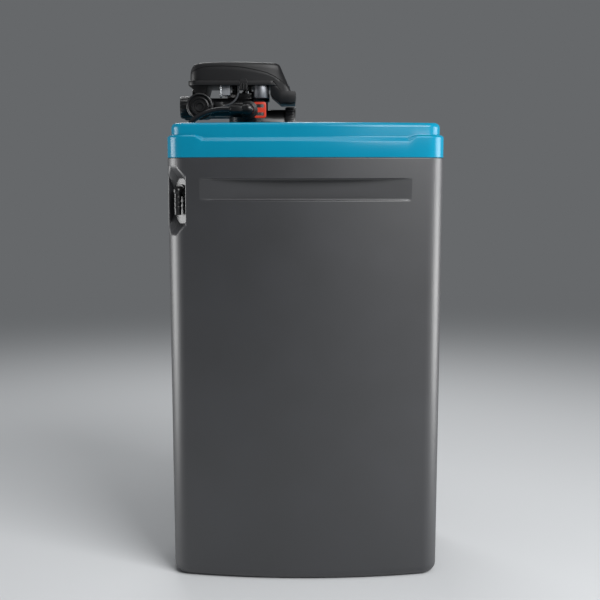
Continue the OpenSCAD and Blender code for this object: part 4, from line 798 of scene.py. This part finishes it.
cover = cover_outside()
under = cover_inside()
low, high = grown(WELL_LOW, WELL_HIGH, WALL)
combine(under, block("well_block", low, high, WELL_R + WALL, [(WELL_UNDER, 0), (DECK_Z, 0)]))
combine(under, block("frame_block", FRAME_LOW, FRAME_HIGH, HATCH_R, [(DECK_Z - FRAME_DEEP, 0), (DECK_Z, 0)]))
combine(cover, under)
combine(cover, seat("well_seat", WELL_LOW, WELL_HIGH, WELL_R, WELL_FLOOR, WELL_LIP, WELL_NOOK))
combine(cover, drum("neck_hole", NECK_AT, NECK_HOLE, WELL_UNDER - WALL, WELL_FLOOR + WALL))
combine(cover, drum("brine_hole", BRINE_AT, BRINE_HOLE, WELL_UNDER - WALL, WELL_FLOOR + WALL))
low, high = (HINGE_X - HATCH_T - SLACK, -HATCH_HALF - GAP), (HATCH_END + GAP, HATCH_HALF + GAP)
opening = seat("hatch_seat", low, high, HATCH_R, hinge_z, SEAT_LIP, SEAT_NOOK)
for side in (-1, 1):
    near_y, far_y = sorted((side * (BARREL_HALF + SLACK), side * (HATCH_HALF + CHEEK_OUT)))
    levels = [(hinge_z - WALL, 0), (DECK_Z + CHEEK_UP, 0)]
    combine(opening, block("cheek", (0, near_y), (CHEEK_X, far_y), CHEEK_R, levels))
combine(cover, opening)
low = (HINGE_X + THROAT_IN, -HATCH_HALF + THROAT_IN)
high = (HATCH_END - THROAT_IN, HATCH_HALF - THROAT_IN)
combine(cover, block("throat", low, high, HATCH_R, [(DECK_Z - THROAT_DEEP, 0), (DECK_Z - SLACK, 0)]))
low, high = (HATCH_END - NOTCH_IN, -NOTCH_HALF), (HATCH_END + NOTCH_OUT, NOTCH_HALF)
combine(cover, seat("finger_notch", low, high, NOTCH_R, hinge_z - NOTCH_DEEP, NOTCH_LIP, NOTCH_NOOK))
finish_piece(cover, "top_cover", "frame", cover_teal)

# %% [markdown]
# ## Softened copies
# Moulded and turned pieces have no knife edges: light always catches a small round on them.
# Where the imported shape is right, a copy of it gets that round from a Bevel modifier that
# only takes the sharp edges, and it stands for its node.


# %% Helper for softened copies
BODY = {node: body for body, names in frame["record"]["behaviour"]["bodies"].items() for node in names}
CAD_MERGE = 0.01 * MM
FLAT_WITHIN = math.radians(0.4)


def softened(node, finish, round_mm, sharp=32):
    """A copy of a node whose sharp edges are rounded."""
    piece = bpy.data.objects.new(node + "_softened", nodes[node].data.copy())
    scene.collection.objects.link(piece)
    alone(piece)
    bpy.ops.object.mode_set(mode="EDIT")
    bpy.ops.mesh.select_all(action="SELECT")
    bpy.ops.mesh.remove_doubles(threshold=CAD_MERGE)
    bpy.ops.mesh.dissolve_limited(angle_limit=FLAT_WITHIN)
    bpy.ops.object.mode_set(mode="OBJECT")
    edge = piece.modifiers.new("edge_round", "BEVEL")
    edge.width = round_mm * MM
    edge.segments = 2
    edge.limit_method = "ANGLE"
    edge.angle_limit = math.radians(sharp)
    edge.use_clamp_overlap = False
    bpy.ops.object.modifier_apply(modifier=edge.name)
    finish_piece(piece, node, BODY[node], finish)
    return piece


# %% Fittings with softened edges
SOFT_EDGES = {
    0.9: ["salt_hatch"],
    0.5: [
        "control_base", "drain_elbow", "brine_elbow", "tube_nut", "bypass_body", "valve_body",
        "overflow_elbow",
    ],
    0.35: ["injector_cap", "union_nuts", "meter_plug", "overflow_nut", "well_cap", "disc_cap"],
    0.3: [
        "button_1", "button_2", "button_3", "button_4", "position_sensor", "drive_motor", "power_inlet",
        "display_lens",
    ],
}
finish_of = {name: material for material, names in FINISH.items() for name in names}
for round_mm, names in SOFT_EDGES.items():
    for name in names:
        softened(name, finish_of[name], round_mm)

# %% [markdown]
# ## The bypass knob
# The knob is a round nylon dish. From outside to inside it has a rim, a deep groove, a ring, a
# dish and a hub, and a short rib on the rim points the way it is turned. Its half section is
# carried round the knob's own axis as rings.

# %% Bypass knob
KNOB_AT = (-189, 840)
KNOB_SECTION = (
    (22.8, -62.5), (23.7, -63), (24, -63.9), (24, -70.6), (23.6, -71.9), (22.9, -72.6), (22, -72.9),
    (21, -72.8), (20.3, -72.2), (19.9, -71), (19.5, -68.3), (19, -67.6), (17.6, -67.4), (17.2, -68),
    (16.8, -70.4), (16.3, -71.4), (15.5, -71.9), (14.3, -71.9), (13.6, -71.3), (13.1, -70), (12.5, -69.2),
    (10.4, -69), (9.8, -69.5), (9.3, -70.6), (8.6, -71.2), (7, -71.2), (6.4, -70.6), (6, -68.4),
    (5.4, -67.8), (0.4, -67.7),
)
POINTER_LOW = (-174.5, 838)
POINTER_HIGH = (-167.5, 842)
POINTER_R = 1.8
POINTER_LEVELS = ((-66, 0), (-72.4, 0), (-73, -0.6))
TURN_STEPS = 72


def turned(name, at, section):
    """A solid of revolution about an axis along Y; the section is pairs of radius and depth."""
    turns = [math.tau * k / TURN_STEPS for k in range(TURN_STEPS)]
    rings = [[(at[0] + r * math.cos(a), y, at[1] + r * math.sin(a)) for a in turns] for r, y in section]
    return wrapped(name, [[tuple(c * MM for c in p) for p in ring] for ring in rings])


def side_plate(name, low, high, radius, levels):
    """A plate that faces along Y, with round corners; levels are pairs of depth and growth."""
    rings = [block_ring(Vector(low), Vector(high), radius, grow, 0) for depth, grow in levels]
    places = [[(x, depth, z) for x, z, _ in ring] for ring, (depth, grow) in zip(rings, levels)]
    return wrapped(name, [[tuple(c * MM for c in p) for p in ring] for ring in places])


knob = turned("bypass_knob_shell", KNOB_AT, KNOB_SECTION)
combine(knob, side_plate("pointer", POINTER_LOW, POINTER_HIGH, POINTER_R, POINTER_LEVELS), "UNION")
finish_piece(knob, "bypass_knob", "bypass", fitting_black)

# %% [markdown]
# ## Clips and latches
# Each side port is held by a red acetal clip: a loop with round corners, two windows and a
# tongue between them. Each long side of the hood is held by a latch, a thin strap with three
# finger ribs at its foot. Loops, windows and ribs are all plates with round corners.

# %% Port clips
CLIP_LOW = (-94, 820.5)
CLIP_HIGH = (-71, 849.5)
CLIP_R = 4.5
CLIP_LEVELS = ((47.2, 0), (50.2, 0), (50.8, -0.25), (51, -0.8))
WINDOWS = (((-89, 839.2), (-75, 845.3)), ((-89, 824.7), (-75, 830.8)))
WINDOW_R = 1.6
WINDOW_LEVELS = ((46, 0), (52, 0))
FINE_SHARP = 25


def sided(levels, side):
    """Levels of a plate on the near or the far side."""
    return [(side * depth, grow) for depth, grow in levels]


def both_sides(name, make):
    """One piece on each long side of the valve, joined as one."""
    piece = make(name, -1)
    combine(piece, make(name, 1), "UNION")
    return piece


def clip(name, side):
    """A clip's loop with its two windows."""
    piece = side_plate(name, CLIP_LOW, CLIP_HIGH, CLIP_R, sided(CLIP_LEVELS, side))
    for low, high in WINDOWS:
        combine(piece, side_plate("window", low, high, WINDOW_R, sided(WINDOW_LEVELS, side)))
    return piece


finish_piece(both_sides("port_clips_shell", clip), "port_clips", "frame", clip_red, sharp=FINE_SHARP)

# %% Hood latches
LATCH_X = -111
STRAP_HALF = 7.2
STRAP_Z = (868.5, 886)
STRAP_R = 1.2
STRAP_LEVELS = ((65.4, 0), (66.6, 0), (67, -0.4))
RIB_PITCH = 4.6
RIB_HALF = 1.3
RIB_Z = (869.5, 881)
RIB_R = 1.1
RIB_LEVELS = ((65.8, 0), (68.6, 0), (69.2, -0.3), (69.5, -0.8))
HOOK_HALF = 6
HOOK_Z = (885, 889)
HOOK_LEVELS = ((62.9, 0), (66.2, 0), (66.6, -0.4))


def latch_plate(name, x, half, heights, radius, levels):
    """A plate of the latch, centred at a place along the valve."""
    return side_plate(name, (x - half, heights[0]), (x + half, heights[1]), radius, levels)


def latch(name, side):
    """A strap over the flange with three ribs at its foot."""
    piece = latch_plate(name, LATCH_X, STRAP_HALF, STRAP_Z, STRAP_R, sided(STRAP_LEVELS, side))
    for k in (-1, 0, 1):
        x = LATCH_X + RIB_PITCH * k
        combine(piece, latch_plate("rib", x, RIB_HALF, RIB_Z, RIB_R, sided(RIB_LEVELS, side)), "UNION")
    hook = latch_plate("hook", LATCH_X, HOOK_HALF, HOOK_Z, STRAP_R, sided(HOOK_LEVELS, side))
    combine(piece, hook, "UNION")
    return piece


finish_piece(both_sides("hood_latches_shell", latch), "hood_latches", "frame", hood_black, sharp=FINE_SHARP)

# %% [markdown]
# ## The guide pin
# A small steel pin stands under the base plate, beside the meter's cable. It is turned: a
# shank, a groove and a rounded foot.

# %% Guide pin
PIN_AT = (-152, -56)
PIN_SECTION = ((1.7, 878.5), (1.7, 869), (1.2, 868.4), (1.2, 864.4), (2, 863.8), (2, 857), (1.3, 856))


def upright(name, at, section):
    """A solid of revolution about an upright axis; the section is pairs of radius and height."""
    turns = [math.tau * k / TURN_STEPS for k in range(TURN_STEPS)]
    rings = [[(at[0] + r * math.cos(a), at[1] + r * math.sin(a), z) for a in turns] for r, z in section]
    return wrapped(name, [[tuple(c * MM for c in p) for p in ring] for ring in rings])


pin = upright("guide_pin", PIN_AT, PIN_SECTION)
bpy.ops.object.shade_smooth_by_angle(angle=math.radians(SHARP))
pin.data.materials.append(steel)
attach(pin, "frame")
print(pin.name, "faces:", len(pin.data.polygons))

# %% [markdown]
# ## The valve's hood
# The hood is one satin moulding. A crease runs round it: below it is an upright side band,
# and above it the top panel stands back behind a narrow groove, leans in and rolls over to
# the flat top. The crease is high at the rear and sweeps down to the chin at the display
# end. The hood is drawn as cross-sections from the rear to the slanted display face.

# %% Hood sections
HOOD_HALF = 63 * MM
HOOD_REAR = -208 * MM
HOOD_FRONT = -26 * MM
HOOD_ROUND = 16 * MM
BULGE_R = 1000 * MM
BULGE_X = -113 * MM
FACE_ROUND = 7 * MM
HOOD_WALL = 2.6 * MM
BAND_LIP = 0.9 * MM
GROOVE_IN = 3.0 * MM
GROOVE_UP = 1.7 * MM
FLANK_IN = 2.2 * MM
FLANK_LEAN = 0.45
TOP_ROUND = 7 * MM
ARC_STEPS = 6
SETTLE_STEPS = 12
CREASE_ROOM = 1.5 * MM
INSIDE_DROP = 4 * MM
TOP_LINE = (
    (-208, 899), (-207.3, 904), (-205.5, 909.5), (-202, 914), (-196, 917.2), (-186, 918.6), (-165, 919.3),
    (-113, 920), (-80, 919.5), (-57, 918.7), (-52, 918), (-48.5, 916.7), (-46, 915),
)
CREASE_LINE = (
    (-208, 897.5), (-195, 905.5), (-182, 910), (-155, 911.6), (-115, 909.4), (-89, 904.6), (-63.5, 898),
    (-46, 887), (-31, 874.5), (-26, 871),
)
UNDER_LINE = ((-208, 886), (-57, 886), (-43, 868), (-26, 868))
REAR_X = (
    -208, -207.5, -206.3, -204.2, -201, -197, -192.5, -186, -176, -165, -150, -135, -120, -105, -92, -80,
    -68, -57,
)
FRONT_PAIRS = (
    (-54, -55), (-50.5, -53), (-47, -51.2), (-43, -49.4), (-38, -48.1), (-33, -47.2), (-29.5, -46.6),
    (-27.2, -46.2), (-26, -46),
)


def height_at(line, x):
    """The height of a line of points at a place along the valve, all in metres."""
    for (xa, za), (xb, zb) in zip(line, line[1:]):
        if x / MM <= xb:
            return (za + (zb - za) * (max(x / MM, xa) - xa) / (xb - xa)) * MM
    return line[-1][1] * MM


def hood_section(under_x, top_x, inset):
    """One closed section, from its place on the underside to its place on the top."""
    under = height_at(UNDER_LINE, under_x)
    top = height_at(TOP_LINE, top_x)
    crease = (under + top) / 2
    for k in range(SETTLE_STEPS):
        part = (crease - under) / (top - under)
        crease = min(height_at(CREASE_LINE, under_x + (top_x - under_x) * part), top - CREASE_ROOM)
    half = HOOD_HALF - BULGE_R + math.sqrt(BULGE_R ** 2 - (under_x - BULGE_X) ** 2)
    rear_gap = max(0, HOOD_ROUND - (under_x - HOOD_REAR))
    half -= HOOD_ROUND - math.sqrt(HOOD_ROUND ** 2 - rear_gap ** 2)
    front_gap = max(0, FACE_ROUND + (under_x - HOOD_FRONT))
    half -= FACE_ROUND - math.sqrt(max(0, FACE_ROUND ** 2 - front_gap ** 2))
    start = min(crease + GROOVE_UP, top - 0.5 * MM)
    rise = top - start
    turn = min(TOP_ROUND, 0.8 * rise)
    lean = FLANK_LEAN * (rise - turn)
    side = [(0, under + (crease - BAND_LIP - under) * k / 4) for k in range(5)]
    side += [(0.3 * BAND_LIP, crease - 0.3 * BAND_LIP), (BAND_LIP, crease)]
    side += [(GROOVE_IN, crease - 0.2 * MM), (GROOVE_IN, start - 0.4 * MM), (FLANK_IN, start)]
    side += [(FLANK_IN + lean * k / 3, start + (rise - turn) * k / 3) for k in (1, 2)]
    for k in range(ARC_STEPS + 1):
        angle = math.pi / 2 * k / ARC_STEPS
        side.append((FLANK_IN + lean + turn * (1 - math.cos(angle)), top - turn * (1 - math.sin(angle))))
    if inset:
        deep = GROOVE_IN + HOOD_WALL
        side = [(deep, under - INSIDE_DROP), (deep, start)]
        side += [(deep + lean, top - turn), (deep + lean + turn, top - inset)]
    ring = []
    for flip, row in ((1, side), (-1, side[::-1])):
        for step_in, z in row:
            x = under_x + (top_x - under_x) * (z - under) / (top - under)
            ring.append((x, flip * (half - step_in), z))
    return ring


def hood_solid(inset=0):
    """The hood as a solid, or the room inside it as a tool."""
    places = [(x * MM, x * MM) for x in REAR_X] + [(a * MM, b * MM) for a, b in FRONT_PAIRS]
    if inset:
        places = [(a + inset, b + inset) for a, b in places[:2]] + places[6:-4]
        places += [(a - inset, b - inset) for a, b in places[-1:]]
    return wrapped("valve_hood_shell", [hood_section(under_x, top_x, inset) for under_x, top_x in places])


# %% Display face
FACE_TILT = math.radians(23.05)
FACE_MID = Vector((-36, 0, 891.5)) * MM
FACE_OUT = Vector((math.cos(FACE_TILT), 0, math.sin(FACE_TILT)))
FACE_UP = Vector((-math.sin(FACE_TILT), 0, math.cos(FACE_TILT)))
LENS_SIZE = (66.2, 20.2)
LENS_V = 9
BUTTON_V = -12
BUTTON_PITCH = 18
BUTTON_HOLE = 4.7
BUTTONS = 4
LENS_CORNER = 0.4 * MM
LENS_DEEP = 1.5
BUTTON_DEEP = 12
FACE_CLEAR = 5
HOLE_STEPS = 40


def on_face(ring, out_mm):
    """Points given across and up the display face, as places in space."""
    return [FACE_MID + FACE_OUT * out_mm * MM + Vector((0, a, 0)) + FACE_UP * b for a, b in ring]


def face_tool(ring, deep, out):
    """A straight tool that cuts into the display face."""
    return wrapped("face_tool", [[tuple(p) for p in on_face(ring, depth)] for depth in (-deep, out)])


hood = hood_solid()
combine(hood, hood_solid(HOOD_WALL))
low = Vector((-LENS_SIZE[0] / 2, LENS_V - LENS_SIZE[1] / 2)) * MM
high = Vector((LENS_SIZE[0] / 2, LENS_V + LENS_SIZE[1] / 2)) * MM
combine(hood, face_tool([p[:2] for p in block_ring(low, high, LENS_CORNER, 0, 0)], LENS_DEEP, FACE_CLEAR))
turns = [math.tau * j / HOLE_STEPS for j in range(HOLE_STEPS)]
hole = [(BUTTON_HOLE * math.cos(a), BUTTON_HOLE * math.sin(a)) for a in turns]
for k in range(BUTTONS):
    across = (k - (BUTTONS - 1) / 2) * BUTTON_PITCH
    circle = [((across + a) * MM, (BUTTON_V + b) * MM) for a, b in hole]
    combine(hood, face_tool(circle, BUTTON_DEEP, FACE_CLEAR))
finish_piece(hood, "valve_hood", "frame", hood_black, sharp=28)
